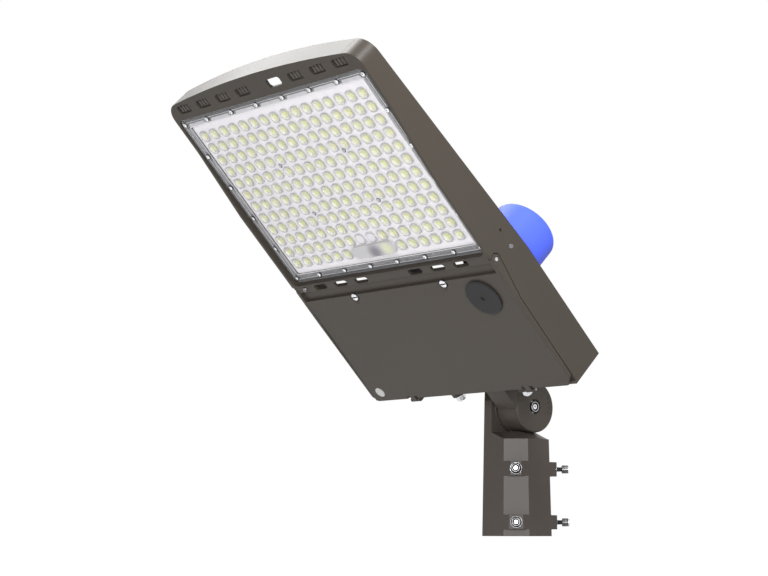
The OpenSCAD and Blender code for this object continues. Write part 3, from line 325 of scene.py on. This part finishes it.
def frosted_plastic():
    """Frosted window: milky white, with the soft dark and yellow shadows of what lies behind it."""
    window = Finish("frosted window", IOR=1.45)

    def shadow(spot, inner, outer):
        """1 within inner metres of a spot, falling to 0 at outer."""
        return 1 - window.distance(tuple(from_head([spot])[0])).smooth(inner, outer)

    grain = window.noise(1600.0, 2.0)
    sensor = shadow(DARK_SPOT, 0.002, 0.018)
    chip = shadow(YELLOW_SPOT, 0.001, 0.014)
    milk = window.blend(grain, (0.46, 0.45, 0.455), (0.54, 0.53, 0.535))
    warm = window.blend(chip * 0.8, milk, (0.68, 0.69, 0.42))
    window.set("Base Color", window.blend(sensor * 0.85, warm, (0.16, 0.15, 0.18)))
    window.set("Roughness", 0.5 + 0.1 * grain)
    window.set("Alpha", 0.93 + 0.04 * grain)
    window.relief(grain, depth=0.00004, strength=0.4)
    return window.material


def board_white():
    """White solder mask with a lilac cast, a little uneven."""
    board = Finish("white solder mask")
    cloud = board.noise(14.0, 3.0)
    board.set("Base Color", board.blend(cloud, (0.79, 0.76, 0.80), (0.85, 0.825, 0.86)))
    board.set("Roughness", 0.42 + 0.1 * cloud)
    return board.material


def phosphor():
    """Yellow-green phosphor under each lens, paler towards its edge and a little uneven."""
    chip = Finish("yellow phosphor")
    grain = chip.noise(60.0, 2.0)
    heart = chip.blend(grain, (0.72, 0.74, 0.22), (0.86, 0.86, 0.42))
    edge = chip.attribute("reach").smooth(0.5, 1.0)
    chip.set("Base Color", chip.blend(edge, heart, (0.70, 0.71, 0.46)))
    chip.set("Roughness", 0.5 + 0.2 * grain)
    return chip.material


BRONZE = powder_coat("bronze powder coat", (0.046, 0.038, 0.031), (0.057, 0.049, 0.040), 0.36)
BRONZE_ARM = powder_coat("bronze coat on fitter", (0.052, 0.043, 0.036), (0.063, 0.054, 0.046), 0.36)
# Short fins behind the front slots: a lighter copy of the bronze coat, painted light as if lit through the
# slots
BRONZE_PAINTED_LIT = powder_coat("bronze coat on short fins, painted lighter as lit", (0.085, 0.077, 0.068), (0.11, 0.10, 0.09), 0.5)
STEEL = turned_metal("bright steel", (0.74, 0.74, 0.76))
DULL_STEEL = turned_metal("dull steel", (0.30, 0.30, 0.31), 0.35)
PAINTED_SHINE_STEEL = painted_shine_steel()
RUBBER = moulded("black rubber", (0.016, 0.016, 0.017), (0.026, 0.026, 0.027), 0.62)
CHARCOAL = moulded("charcoal plastic", (0.016, 0.016, 0.017), (0.023, 0.023, 0.024), 0.5,
                   Specular_IOR_Level=DULL_SHINE)
VENT_GREY = moulded("grey plastic", (0.40, 0.40, 0.39), (0.47, 0.47, 0.46), 0.5)
PALE_NYLON = moulded("pale nylon", (0.66, 0.66, 0.61), (0.74, 0.74, 0.70), 0.5)
BLUE = moulded("blue plastic", (0.070, 0.118, 0.76), (0.084, 0.138, 0.86), 0.50, grain=900.0, edge=0.0012,
               Specular_IOR_Level=0.15)
BRASS = turned_metal("brass", (0.78, 0.60, 0.30), 0.3)
CASE_METAL = turned_metal("satin case metal", (0.62, 0.63, 0.64), 0.38)
CLEAR = clear_plastic()
POCKET = pocket_plastic()
FROSTED = frosted_plastic()
BOARD = board_white()
PHOSPHOR = phosphor()

FINISH_OF_SLOT = {
    "cast_bronze": BRONZE, "cast_bronze_light": BRONZE_ARM, "steel": STEEL, "seal_rubber": RUBBER,
    "white_board": BOARD, "phosphor": PHOSPHOR, "black_plastic": CHARCOAL, "clear_lens": CLEAR,
    "frosted_window": FROSTED, "driver_case": CASE_METAL, "pale_plastic": PALE_NYLON,
    "plug_plastic": CHARCOAL, "vent_plastic": VENT_GREY, "blue_plastic": BLUE, "contact_brass": BRASS,
}
# Nodes whose finish is not their slot's. The side screws' darker dull steel is partly painted shade, so
# that they read as dark holes.
FINISH_OF_NODE = {
    "side_screws": DULL_STEEL, "hinge_pins": DULL_STEEL, "driver_screws": DULL_STEEL,
    "ground_screw": DULL_STEEL,
}


def finish_nodes():
    """Gives every node of the frame its own finish, or else that of its material slot."""
    slot_of = {part["node"]: part["material_slot"] for part in frame["record"]["subparts"]}
    for name, node in frame["nodes"].items():
        node.data.materials.clear()
        node.data.materials.append(FINISH_OF_NODE.get(name, FINISH_OF_SLOT[slot_of[name]]))


finish_nodes()


# ---------------------------------------------------------------------------------------------
# Shapes. A shape is its points, its faces, and a value or a row of values for each point. Its
# faces are a list of arrays, one for each number of corners, with one row of points for a face.
# ---------------------------------------------------------------------------------------------
def make_piece(name, points, faces, material, body, shades=None, crease=38):
    """One mesh object from points in metres and faces, welded, with its normals outwards.
    shades holds point attributes by name, and crease is the angle past which an edge stays sharp."""
    mesh = bpy.data.meshes.new(name)
    mesh.from_pydata(points.tolist(), [], [face for group in faces for face in group.tolist()])
    for key, values in (shades or {}).items():
        attribute = mesh.attributes.new(key, "FLOAT", "POINT")
        attribute.data.foreach_set("value", np.asarray(values, np.float32))
    work = bmesh.new()
    work.from_mesh(mesh)
    bmesh.ops.remove_doubles(work, verts=work.verts, dist=1e-6)
    bmesh.ops.dissolve_degenerate(work, edges=work.edges, dist=1e-7)
    bmesh.ops.recalc_face_normals(work, faces=work.faces)
    work.to_mesh(mesh)
    work.free()
    mesh.shade_smooth()
    mesh.set_sharp_from_angle(angle=radians(crease))
    mesh.materials.append(material)
    piece = bpy.data.objects.new(name, mesh)
    bpy.context.collection.objects.link(piece)
    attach(piece, body)
    return piece


def joined(shapes):
    """One shape from several."""
    starts = np.cumsum([0] + [len(points) for points, _, _ in shapes])
    points = np.concatenate([points for points, _, _ in shapes])
    faces = [group + start for (_, faces, _), start in zip(shapes, starts) for group in faces]
    return points, faces, np.concatenate([values for _, _, values in shapes])


def repeated(shape, places):
    """Copies of one shape, moved to many places."""
    points, faces, values = shape
    starts = len(points) * np.arange(len(places))[:, None, None]
    faces = [(group + starts).reshape(-1, group.shape[1]) for group in faces]
    return (points + places[:, None, :]).reshape(-1, 3), faces, np.concatenate([values] * len(places))


def ring_faces(rings, count, ends="closed"):
    """Quads between rings of count points each. The first and the last ring are closed with a face
    each, joined to each other, or left open."""
    start, along = np.meshgrid(np.arange(rings - 1) * count, np.arange(count), indexing="ij")
    a, b = start + along, start + (along + 1) % count
    quads = np.stack([a, b, b + count, a + count], axis=-1).reshape(-1, 4)
    first = np.arange(count)
    last = first + (rings - 1) * count
    if ends == "closed":
        return [quads, first[None], last[None]]
    if ends == "joined":
        return [quads, np.stack([last, np.roll(last, -1), np.roll(first, -1), first], axis=1)]
    return [quads]


def revolved(profile, origin, axis, count=24, painted_knurl_shade=0.0, ends="closed"):
    """Profile turned about an axis through origin, each row a distance along it, a radius and a painted
    shine, the painted light and shade of that ring on a steel piece (on a phosphor dot, its reach): origin
    + distance * axis + radius * (cos(t) * side + sin(t) * (axis x side)). A painted shine above 1 has 1
      taken off, and every second point of its ring is darker by its knurl shade: painted shade in the
      grooves of a knurl."""
    axis = np.asarray(axis, float) / np.linalg.norm(axis)
    side = np.cross(axis, UP if abs(axis[2]) < 0.9 else (1.0, 0.0, 0.0))
    side /= np.linalg.norm(side)
    t = np.arange(count) * tau / count
    ring = np.cos(t)[:, None] * side + np.sin(t)[:, None] * np.cross(axis, side)
    distance, radius, painted_shine = np.asarray(profile, float).T[:, :, None]
    points = np.asarray(origin, float) + distance[..., None] * axis + radius[..., None] * ring
    painted_shine = np.where(painted_shine > 1, painted_shine - 1 - painted_knurl_shade * (np.arange(count) % 2), painted_shine)
    return points.reshape(-1, 3), ring_faces(len(profile), count, ends), np.clip(painted_shine, 0, 1).ravel()


def prism(outline, axis, levels, value=0.0):
    """Prism on a flat outline, between two levels along an axis, 0 for X and 2 for Z."""
    points = np.concatenate([np.insert(outline, axis, level, axis=1) for level in levels])
    return points, ring_faces(2, len(outline)), np.full(len(points), value)


def box(middle, half, value):
    """Plain box about its middle."""
    low, high = np.array(middle) - half, np.array(middle) + half
    outline = np.array([(low[0], low[1]), (high[0], low[1]), (high[0], high[1]), (low[0], high[1])])
    return prism(outline, 2, (low[2], high[2]), value)


# ---------------------------------------------------------------------------------------------
# Lens plate and what shows through it
# ---------------------------------------------------------------------------------------------
LENS_COLUMNS, LENS_ROWS = 16, 12
LENS_PITCH = np.array([20.8, 18.9])
FIELD_HALF = np.array([LENS_COLUMNS, LENS_ROWS]) * LENS_PITCH / 2
LENS_R, LENS_H = 8.2, 3.6
CELL_SIDE = 3                                   # points along each side of a cell
BEYOND = 1.2                                    # reach of all points outside a dome
PLATE_HALF = np.array([183.5, 133.8])
PLATE_MIDDLE_Y = -404.3
PLATE_OUT_Z = -39.5
PLATE_FIELD_Z = -38.1
PLATE_IN_Z = -36.3
PLATE_CORNER = 9.0
CORNER_POINTS = 6                               # points round a corner of the plate
BOARD_Z = -37.2
BOARD_INSET = 12.5
WIRE_HOLE_Y = -286.6
BOARD_SCREWS = [(sx * 62.4, y) for sx in (-1, 1) for y in (-442.1, -366.5)]
SCREW_SHADE_R = 17.0                            # round a board screw, where lenses show less of their chip
CHIP_R = 5.2
RIM_SCREW_HALF = PLATE_HALF - (6.8, 7.4)        # from the plate's middle to its corner screws
RIM_SCREWS_ACROSS = np.array([-3.42, -2.5, -1.5, -0.5, 0.5, 1.5, 2.5, 3.42]) / 3.42 * RIM_SCREW_HALF[0]
RIM_SCREWS_ALONG = np.linspace(-1, 1, 6) * RIM_SCREW_HALF[1]
POCKET_GAP = 6.5                                # from a rim screw to the hollows beside it
POCKET_DEPTH, POCKET_CORNER = 4.9, 3.4
POCKET_SUNK, POCKET_RAISED = 0.1, 0.22          # into the rim and out over its face


def lens_grid():
    """Column and row numbers of every cell, and the cells' middles on the plate's face."""
    i, j = [k.ravel() for k in np.meshgrid(np.arange(LENS_COLUMNS), np.arange(LENS_ROWS), indexing="ij")]
    x = (i - (LENS_COLUMNS - 1) / 2) * LENS_PITCH[0]
    y = PLATE_MIDDLE_Y + (j - (LENS_ROWS - 1) / 2) * LENS_PITCH[1]
    return i, j, np.stack([x, y, 0 * x], axis=1)


def at_window(i, j):
    """True for the four cells of the last row that the frosted window takes."""
    return (j == LENS_ROWS - 1) & (np.abs(i - (LENS_COLUMNS - 1) / 2) < 2)


def has_chip(i, j):
    """True where a lens has a chip behind it: not at the window, nor at the two lenses in front of it."""
    in_front = (j == LENS_ROWS - 2) & (np.abs(i - (LENS_COLUMNS - 1) / 2) < 1)
    return ~at_window(i, j) & ~in_front


def lens_light(points):
    """How much of its chip each point's lens shows: a little different everywhere, and less, as painted
    shade, by a factor of 1 - 0.6 exp(-d^2 / r^2) at a distance d from a board screw."""
    i, j, middles = lens_grid()
    light = np.random.default_rng(11).uniform(0.80, 1.0, (LENS_COLUMNS, LENS_ROWS)).ravel()
    for screw in BOARD_SCREWS:
        away = ((middles[:, :2] - screw) ** 2).sum(axis=1) / SCREW_SHADE_R ** 2
        light = light * (1 - 0.6 * np.exp(-away))
    light = (light * has_chip(i, j)).reshape(LENS_COLUMNS, LENS_ROWS)
    corner = (-FIELD_HALF[0], PLATE_MIDDLE_Y - FIELD_HALF[1])
    cell = np.floor((points[:, :2] - corner) / LENS_PITCH)
    column, row = np.clip(cell, 0, (LENS_COLUMNS - 1, LENS_ROWS - 1)).astype(int).T
    return light[column, row]


def lens_cell(domed):
    """One cell about its middle: rings from near the pole to the lens's foot, then out to the cell's
    square edge. The dome is a cap of a sphere of radius R = (r^2 + h^2) / 2h: at a share s of the
    lens's radius r its height is sqrt(R^2 - (s r)^2) - (R - h). Its values are reach, rim and
    tint_and_painted_light."""
    n = 4 * CELL_SIDE
    t = np.arange(n) / CELL_SIDE
    side, along = np.floor(t).astype(int), t % 1.0
    corners = np.array([[-1, -1], [1, -1], [1, 1], [-1, 1]], float)
    square = corners[side] * (1 - along)[:, None] + corners[(side + 1) % 4] * along[:, None]
    circle = square / np.linalg.norm(square, axis=1)[:, None]
    ball = (LENS_R ** 2 + LENS_H ** 2) / (2 * LENS_H)
    share = np.array([0.33, 0.68, 0.90, 1.0])
    height = np.sqrt(ball ** 2 - (share * LENS_R) ** 2) - (ball - LENS_H) if domed else 0 * share
    inner = circle[None, :, :] * (share * LENS_R)[:, None, None]
    flat = np.concatenate([inner, [square * LENS_PITCH / 2]]).reshape(-1, 2)
    z = PLATE_OUT_Z - np.repeat(np.append(height, 0.0), n)
    reach = np.repeat(np.append(share, BEYOND), n) if domed else np.full(len(flat), BEYOND)
    faces = ring_faces(len(share) + 1, n, "open") + [np.arange(n)[None]]
    return np.column_stack([flat, z]), faces, np.column_stack([reach, 0 * reach, 0 * reach])


def plate_loop(inset, z):
    """Loop round the plate, in step with the cells: its outline drawn in by inset, with a quarter circle
    at each corner, or the lens field's square edge where inset is None."""
    half = FIELD_HALF if inset is None else PLATE_HALF - inset
    radius = 0.0 if inset is None else max(PLATE_CORNER - inset, 1.5)
    corners = np.array([(-1, -1), (1, -1), (1, 1), (-1, 1)]) * half
    loop = []
    for quarter in range(4):
        start, end = corners[quarter], corners[(quarter + 1) % 4]
        steps = CELL_SIDE * (LENS_COLUMNS, LENS_ROWS)[quarter % 2]
        trim = radius * np.sign(end - start)
        along = np.linspace(0, 1, steps + 1)[:, None]
        loop.append((start + trim) * (1 - along) + (end - trim) * along)
        turn = (quarter - 1) * pi / 2 + np.linspace(0, pi / 2, CORNER_POINTS + 2)[1:-1]
        middle = end - radius * np.sign(end)
        loop.append(middle + radius * np.stack([np.cos(turn), np.sin(turn)], axis=1))
    flat = np.concatenate(loop)
    return np.column_stack([flat[:, 0], flat[:, 1] + PLATE_MIDDLE_Y, np.full(len(flat), z)])


def lens_plate():
    """Clear plate: a field of lens cells, then bands between loops of the plate's outline, over a rim
    with two fine ridges and back to the recess over the board."""
    i, j, places = lens_grid()
    window = at_window(i, j)
    cells = [repeated(lens_cell(True), places[~window]), repeated(lens_cell(False), places[window])]
    out = PLATE_OUT_Z
    recess = BOARD_INSET - 0.5
    # inset, height, rim and tint_and_painted_light of each loop; the pale lines on the two ridges and the
    # edge are painted highlights
    profile = [
        (None, out, 0.0, 0.0), (13.3, out, 0.0, 0.0),
        (12.9, out - 0.35, 1.0, 0.9), (12.2, out - 0.35, 1.0, 0.9), (11.9, out, 1.0, 0.25),
        (5.9, out, 1.0, 0.22), (5.6, out - 0.4, 1.0, 0.75), (5.1, out - 0.4, 1.0, 0.75),
        (4.8, out, 1.0, 0.12), (1.2, out, 1.0, 0.10), (0.5, out + 0.15, 1.0, 0.55),
        (0.0, out + 0.6, 1.0, 0.55), (0.0, PLATE_IN_Z, 1.0, 0.3), (recess, PLATE_IN_Z, 1.0, 0.2),
        (recess, PLATE_FIELD_Z, 0.0, 0.0),
    ]
    loops = np.array([plate_loop(inset, z) for inset, z, _, _ in profile])
    count = len(loops[0])
    bands, _, back = ring_faces(len(loops), count)
    values = np.repeat([(BEYOND, rim, tint_and_painted_light) for _, _, rim, tint_and_painted_light in profile], count, axis=0)
    points, faces, values = joined(cells + [(loops.reshape(-1, 3), [bands, back], values)])
    reach, rim, tint_and_painted_light = values.T
    piece = make_piece("lens_plate_clear", from_head(points), faces, CLEAR, "head",
                       {"reach": reach, "rim": rim, "tint_and_painted_light": tint_and_painted_light, "lit": lens_light(points)})
    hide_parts("lens_plate")


def phosphor_dots():
    """Low round domes of phosphor on the board, one under each lens: a circle swept over three rings."""
    i, j, places = lens_grid()
    profile = [(0.0, CHIP_R, 1.0), (-0.35, 0.93 * CHIP_R, 0.93), (-0.6, 0.55 * CHIP_R, 0.3)]
    dot = revolved(profile, (0, 0, BOARD_Z), UP, 12)
    points, faces, reach = repeated(dot, places[has_chip(i, j)])
    piece = make_piece("phosphor_dots", from_head(points), faces, PHOSPHOR, "head",
                       {"reach": reach})
    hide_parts("led_chips")


def rim_pocket(low, high, side, axis, tint_and_painted_light):
    """Slab from low to high along the rim, with a straight inner side and a quarter circle at each outer
    corner. axis is the one that it runs along, and side is the sign of the other, where it lies."""
    outer = PLATE_HALF[1 - axis] - BOARD_INSET + POCKET_DEPTH
    turn = np.linspace(0, pi / 2, 5)
    arc = POCKET_CORNER * np.stack([np.cos(turn), np.sin(turn)], axis=1)
    high_arc = (high - POCKET_CORNER, outer - POCKET_CORNER) + arc
    low_arc = (low + POCKET_CORNER, outer - POCKET_CORNER) + arc[::-1] * (-1, 1)
    flat = np.concatenate([high_arc, low_arc, [(low, outer - POCKET_DEPTH), (high, outer - POCKET_DEPTH)]])
    flat = flat * (1, side) if axis == 0 else flat[:, ::-1] * (side, 1)
    levels = (PLATE_OUT_Z + POCKET_SUNK, PLATE_OUT_Z - POCKET_RAISED)
    return prism(flat + (0, PLATE_MIDDLE_Y), 2, levels, tint_and_painted_light)


def rim_pockets():
    """Pale hollows along the rim, one between each two of its screws: the front row pale, the sides and the
    rear darker by painted shade.
    """
    pockets = []
    for side in (-1, 1):
        # Painted shade by side: front pockets palest, side pockets darker, rear pockets darkest
        for axis, line, tint_and_painted_light in [(0, RIM_SCREWS_ACROSS, 1.0 if side < 0 else 0.30),
                                 (1, RIM_SCREWS_ALONG, 0.55)]:
            for low, high in zip(line[:-1], line[1:]):
                pockets.append(rim_pocket(low + POCKET_GAP, high - POCKET_GAP, side, axis, tint_and_painted_light))
    points, faces, tint_and_painted_light = joined(pockets)
    make_piece("rim_pockets", from_head(points), faces, POCKET, "head", {"tint_and_painted_light": tint_and_painted_light})


def wire_bush():
    """White bush, turned, that fills the board's wire hole just behind the window."""
    profile = [(1.4, 2.9, 0), (0.0, 2.9, 0), (-0.3, 2.5, 0), (-0.3, 0.4, 0)]
    points, faces, _ = revolved(profile, (0.0, WIRE_HOLE_Y, BOARD_Z), UP)
    make_piece("board_wire_bush", from_head(points), faces, BOARD, "head")


# ---------------------------------------------------------------------------------------------
# Screws, turned about their axes
# ---------------------------------------------------------------------------------------------
BOSS_REACH = 51.5                               # from the fitter's axis to a boss's face
SET_TIP, SET_NECK, SET_HEAD = 31.3, BOSS_REACH + 6.3, BOSS_REACH + 15.8
SET_ROWS = {"upper": 85.5, "lower": 17.7}
SET_TURNS = {"front": radians(-45), "side": radians(45)}
CAPTIVE_X, CAPTIVE_Y, CAPTIVE_SEAT_Z = 84.5, -239.7, -44.6
CAPTIVE_SLOT_HALF = (5.0, 0.9, 0.52)
CAPTIVE_SLOT_Z = CAPTIVE_SEAT_Z - 2.52


def screw_piece(name, shapes, place, body, node=None):
    """One steel piece with painted highlights and shade, from several shapes, in place of the frame's node
    if one is named.
    """
    points, faces, painted_shine = joined(shapes)
    piece = make_piece(name, place(points), faces, PAINTED_SHINE_STEEL, body, {"painted_shine": painted_shine}, crease=30)
    if node:
        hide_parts(node)


def set_screws():
    """Knurled socket-head set screws with a threaded neck, each in a bare metal collar on its boss; knurl,
    thread, rings and socket are drawn in painted highlights and painted shade.
    """
    # Third values are painted shine: painted highlights on crests and edges, painted shade in the thread's
    # valleys, the groove and the socket
    thread = [(SET_NECK - 6 + k, 3.0 - 0.35 * (k % 2), 0.30 - 0.28 * (k % 2)) for k in range(6)]
    profile = [(SET_TIP, 2.2, 0.2), (SET_TIP + 1.0, 3.0, 0.3)] + thread + [
        (SET_NECK, 2.7, 0.0), (SET_NECK, 4.7, 0.1), (SET_NECK + 0.5, 5.2, 1.42),
        (SET_HEAD - 2.4, 5.2, 1.50), (SET_HEAD - 2.1, 5.0, 0.05), (SET_HEAD - 1.5, 5.0, 0.05),
        (SET_HEAD - 1.2, 5.2, 0.95), (SET_HEAD - 0.5, 5.2, 0.9), (SET_HEAD, 4.7, 0.6),
        (SET_HEAD, 4.3, 0.0), (SET_HEAD, 3.1, 0.0), (SET_HEAD - 0.4, 2.8, 0.0),
        (SET_HEAD - 2.2, 2.8, 0.0), (SET_HEAD - 2.2, 2.0, 0.9),
    ]
    # The collar: a painted highlight on its edge, painted shade on the rest
    collar = [(BOSS_REACH - 0.8, 7.5, 0.0), (BOSS_REACH - 0.2, 7.5, 0.8), (BOSS_REACH, 7.2, 0.8),
              (BOSS_REACH, 6.9, 0.0), (BOSS_REACH - 0.3, 5.4, 0.0), (BOSS_REACH - 0.8, 5.4, 0.0)]
    collars = []
    for side, turn in SET_TURNS.items():
        axis = (cos(turn), sin(turn), 0.0)
        for row, height in SET_ROWS.items():
            screw = revolved(profile, (0, 0, height), axis, 32, painted_knurl_shade=0.40)
            screw_piece(f"set_screw_{side}_{row}_turned", [screw], from_fitter, f"screw_{side}_{row}",
                        f"set_screw_{side}_{row}")
            collars.append(revolved(collar, (0, 0, height), axis, 32, ends="joined"))
    screw_piece("set_screw_collars", collars, from_fitter, "fitter")


def knuckle_bolt():
    """Pivot bolt with a round socket head sunk in the drum: painted highlights on its edge and heart,
    painted shade in its black recess.
    """
    profile = [(-38, 3.4, 0.5), (-37.4, 4.0, 0.6), (28.6, 4.0, 0.4), (28.6, 6.2, 0.05), (29.2, 6.5, 0.1),
               (34.9, 6.5, 0.3), (35.4, 6.2, 0.95), (35.4, 5.8, 0.9), (35.2, 5.4, 0.0), (34.6, 4.6, 0.0),
               (34.6, 3.8, 0.0), (35.1, 3.1, 0.9), (35.1, 1.3, 1.0), (34.8, 0.8, 0.1)]
    screw_piece("knuckle_bolt_turned", [revolved(profile, PIVOT, (1, 0, 0), 32)], from_fitter, "fitter",
                "knuckle_bolt")


def captive_screws():
    """Slotted captive screws of the door: a domed head with painted highlights, split by a slot painted
    black as shade.
    """
    profile = [(12.0, 2.0, 0.4), (11.4, 2.5, 0.5), (0.0, 2.5, 0.3), (0.0, 5.3, 0.05), (-0.6, 5.6, 0.1),
               (-1.9, 5.6, 0.25), (-2.6, 5.0, 0.85), (-3.0, 3.6, 1.0), (-3.0, 1.0, 0.9)]
    for name, side in {"left": -1, "right": 1}.items():
        head = revolved(profile, (side * CAPTIVE_X, CAPTIVE_Y, CAPTIVE_SEAT_Z), UP, 28)
        # The slot is painted black: painted shade
        slot = box((side * CAPTIVE_X, CAPTIVE_Y, CAPTIVE_SLOT_Z), CAPTIVE_SLOT_HALF, 0.0)
        screw_piece(f"captive_screw_{name}_turned", [head, slot], from_head, f"captive_{name}",
                    f"captive_screw_{name}")


def pan_heads():
    """Pan-head screws of the plate's rim and of the board: a painted highlight on the crown, painted shade
    on the edge and in the recess.
    """
    tall = [(8.4, 2.0, 0.2), (0.0, 2.0, 0.1), (0.0, 3.6, 0.0), (-0.9, 3.5, 0.05), (-1.7, 2.9, 0.8),
            (-2.2, 1.9, 1.0), (-2.2, 0.8, 0.85), (-1.6, 0.5, 0.0)]
    across, along = RIM_SCREWS_ACROSS, RIM_SCREWS_ALONG
    places = [(x, y) for x in across for y in along[[0, -1]]]
    places += [(x, y) for x in across[[0, -1]] for y in along[1:-1]]
    rim = [revolved(tall, (x, PLATE_MIDDLE_Y + y, PLATE_OUT_Z), UP, 16) for x, y in places]
    screw_piece("lens_screws_turned", rim, from_head, "head", "lens_screws")
    low = [(6.0, 1.5, 0.2), (0.0, 1.5, 0.1), (0.0, 3.2, 0.0), (-0.5, 3.1, 0.0), (-0.75, 2.5, 0.05),
           (-0.85, 1.6, 1.0), (-0.85, 0.9, 1.0), (-0.6, 0.6, 0.0)]
    board = [revolved(low, (x, y, BOARD_Z), UP, 16) for x, y in BOARD_SCREWS]
    screw_piece("board_screws_turned", board, from_head, "head", "board_screws")


# ---------------------------------------------------------------------------------------------
# Short fins in the nose
# ---------------------------------------------------------------------------------------------
FIN_PITCH = 20.7
FRONT_SLOTS = (-7.5, -5.5, -3.5, -1.5, 3.5, 5.5, 7.5)       # in fin pitches; the one at 1.5 is open
NOSE_FINS = (-9.0, -3.0, 3.0, 9.0)                          # in each slot, from its middle
NOSE_FIN_T = 1.8
SLOT_FRONT_Y, SLOT_REAR_Y, TRAY_WALL_Y = -557.3, -547.7, -540.8
NOSE_FIN_FOOT_Z, LIP_INSIDE_Z, NOSE_FIN_TOP_Z = -38.6, -36.9, -26.0


def nose_fins():
    """Short fins behind the front slots: prisms from the tray's front wall down into each slot, in a bronze
    coat painted lighter as if lit.
    """
    outline = np.array([
        (SLOT_REAR_Y, NOSE_FIN_FOOT_Z), (SLOT_REAR_Y, LIP_INSIDE_Z), (TRAY_WALL_Y, LIP_INSIDE_Z),
        (TRAY_WALL_Y, NOSE_FIN_TOP_Z), (SLOT_FRONT_Y, NOSE_FIN_TOP_Z), (SLOT_FRONT_Y, NOSE_FIN_FOOT_Z),
    ])
    xs = [slot * FIN_PITCH + offset for slot in FRONT_SLOTS for offset in NOSE_FINS]
    fins = [prism(outline, 0, (x - NOSE_FIN_T / 2, x + NOSE_FIN_T / 2)) for x in xs]
    points, faces, _ = joined(fins)
    make_piece("nose_fins", from_head(points), faces, BRONZE_PAINTED_LIT, "head")


lens_plate()
phosphor_dots()
rim_pockets()
set_screws()
knuckle_bolt()
captive_screws()
pan_heads()
nose_fins()
wire_bush()


# ---------------------------------------------------------------------------------------------
# Floor and light, in metres
# ---------------------------------------------------------------------------------------------
FLOOR_HALF = 60.0
FLOOR_LEVEL = -1.1
FLOOR_FADE = (1.5, 12.0)                        # where the floor starts to pale, and where it is white
LAMP_MIDDLE = (0.0, -0.2, 0.35)
WORLD_LIGHT = 0.50

# Name, place, aim, size and watts
SOFT_LIGHTS = [
    ("left softbox", (-1.6, 0.0, 2.5), LAMP_MIDDLE, (2.0, 1.8), 52),
    ("top softbox", (-0.75, -0.4, 2.6), LAMP_MIDDLE, (1.1, 1.1), 24),
    ("near right lamp", (0.85, -0.45, 1.15), (0.15, -0.35, 0.45), (0.4, 0.4), 11),
    ("camera side panel", (1.85, -1.95, 0.4), LAMP_MIDDLE, (1.0, 1.0), 52),
    ("low front panel", (0.1, -2.1, -0.8), LAMP_MIDDLE, (2.2, 1.2), 3.5),
]


def area_light(name, place, aim, size, watts):
    """A rectangular area light at a place, turned to its aim."""
    data = bpy.data.lights.new(name, "AREA")
    data.shape = "RECTANGLE"
    data.size, data.size_y = size
    data.energy = watts
    lamp = bpy.data.objects.new(name, data)
    lamp.location = place
    lamp.rotation_euler = (Vector(aim) - Vector(place)).to_track_quat("-Z", "Y").to_euler()
    bpy.context.collection.objects.link(lamp)


def build_floor():
    """A wide flat floor well under the lamp, which background rays see brighter, and white far away."""
    h, z = FLOOR_HALF, FLOOR_LEVEL
    mesh = bpy.data.meshes.new("floor")
    mesh.from_pydata([(-h, -h, z), (h, -h, z), (h, h, z), (-h, h, z)], [], [(0, 1, 2, 3)])
    pale = Finish("pale floor", Roughness=0.9, Emission_Strength=1.0)
    pale.set("Base Color", pale.blend(pale.noise(2.0, 2.0), (0.80, 0.80, 0.80), (0.84, 0.84, 0.84)))
    far = pale.distance((0.0, 0.0, 0.0)).smooth(*FLOOR_FADE)
    glow = pale.blend(far, (0.20, 0.20, 0.20), (0.58, 0.58, 0.58))
    pale.set("Emission Color", pale.blend(pale.background_ray(), (0.0, 0.0, 0.0), glow))
    mesh.materials.append(pale.material)
    floor = bpy.data.objects.new("floor", mesh)
    bpy.context.collection.objects.link(floor)


def build_world():
    """Even soft light from all round, which background rays see as plain white."""
    world = bpy.data.worlds.new("studio")
    bpy.context.scene.world = world
    world.use_nodes = True
    world.node_tree.nodes.clear()
    build = Nodes(world.node_tree)
    light = build.node("ShaderNodeBackground", {}, {"Color": (0.97, 0.98, 1.0), "Strength": WORLD_LIGHT})
    white = build.node("ShaderNodeBackground", {}, {"Color": (1.0, 1.0, 1.0), "Strength": 1.0})
    mix = build.node("ShaderNodeMixShader", {},
                     {0: build.background_ray(), 1: light.outputs[0], 2: white.outputs[0]})
    build.node("ShaderNodeOutputWorld", {}, {"Surface": mix.outputs[0]})


build_floor()
build_world()
for soft_light in SOFT_LIGHTS:
    area_light(*soft_light)

bpy.context.scene.view_settings.view_transform = "Standard"
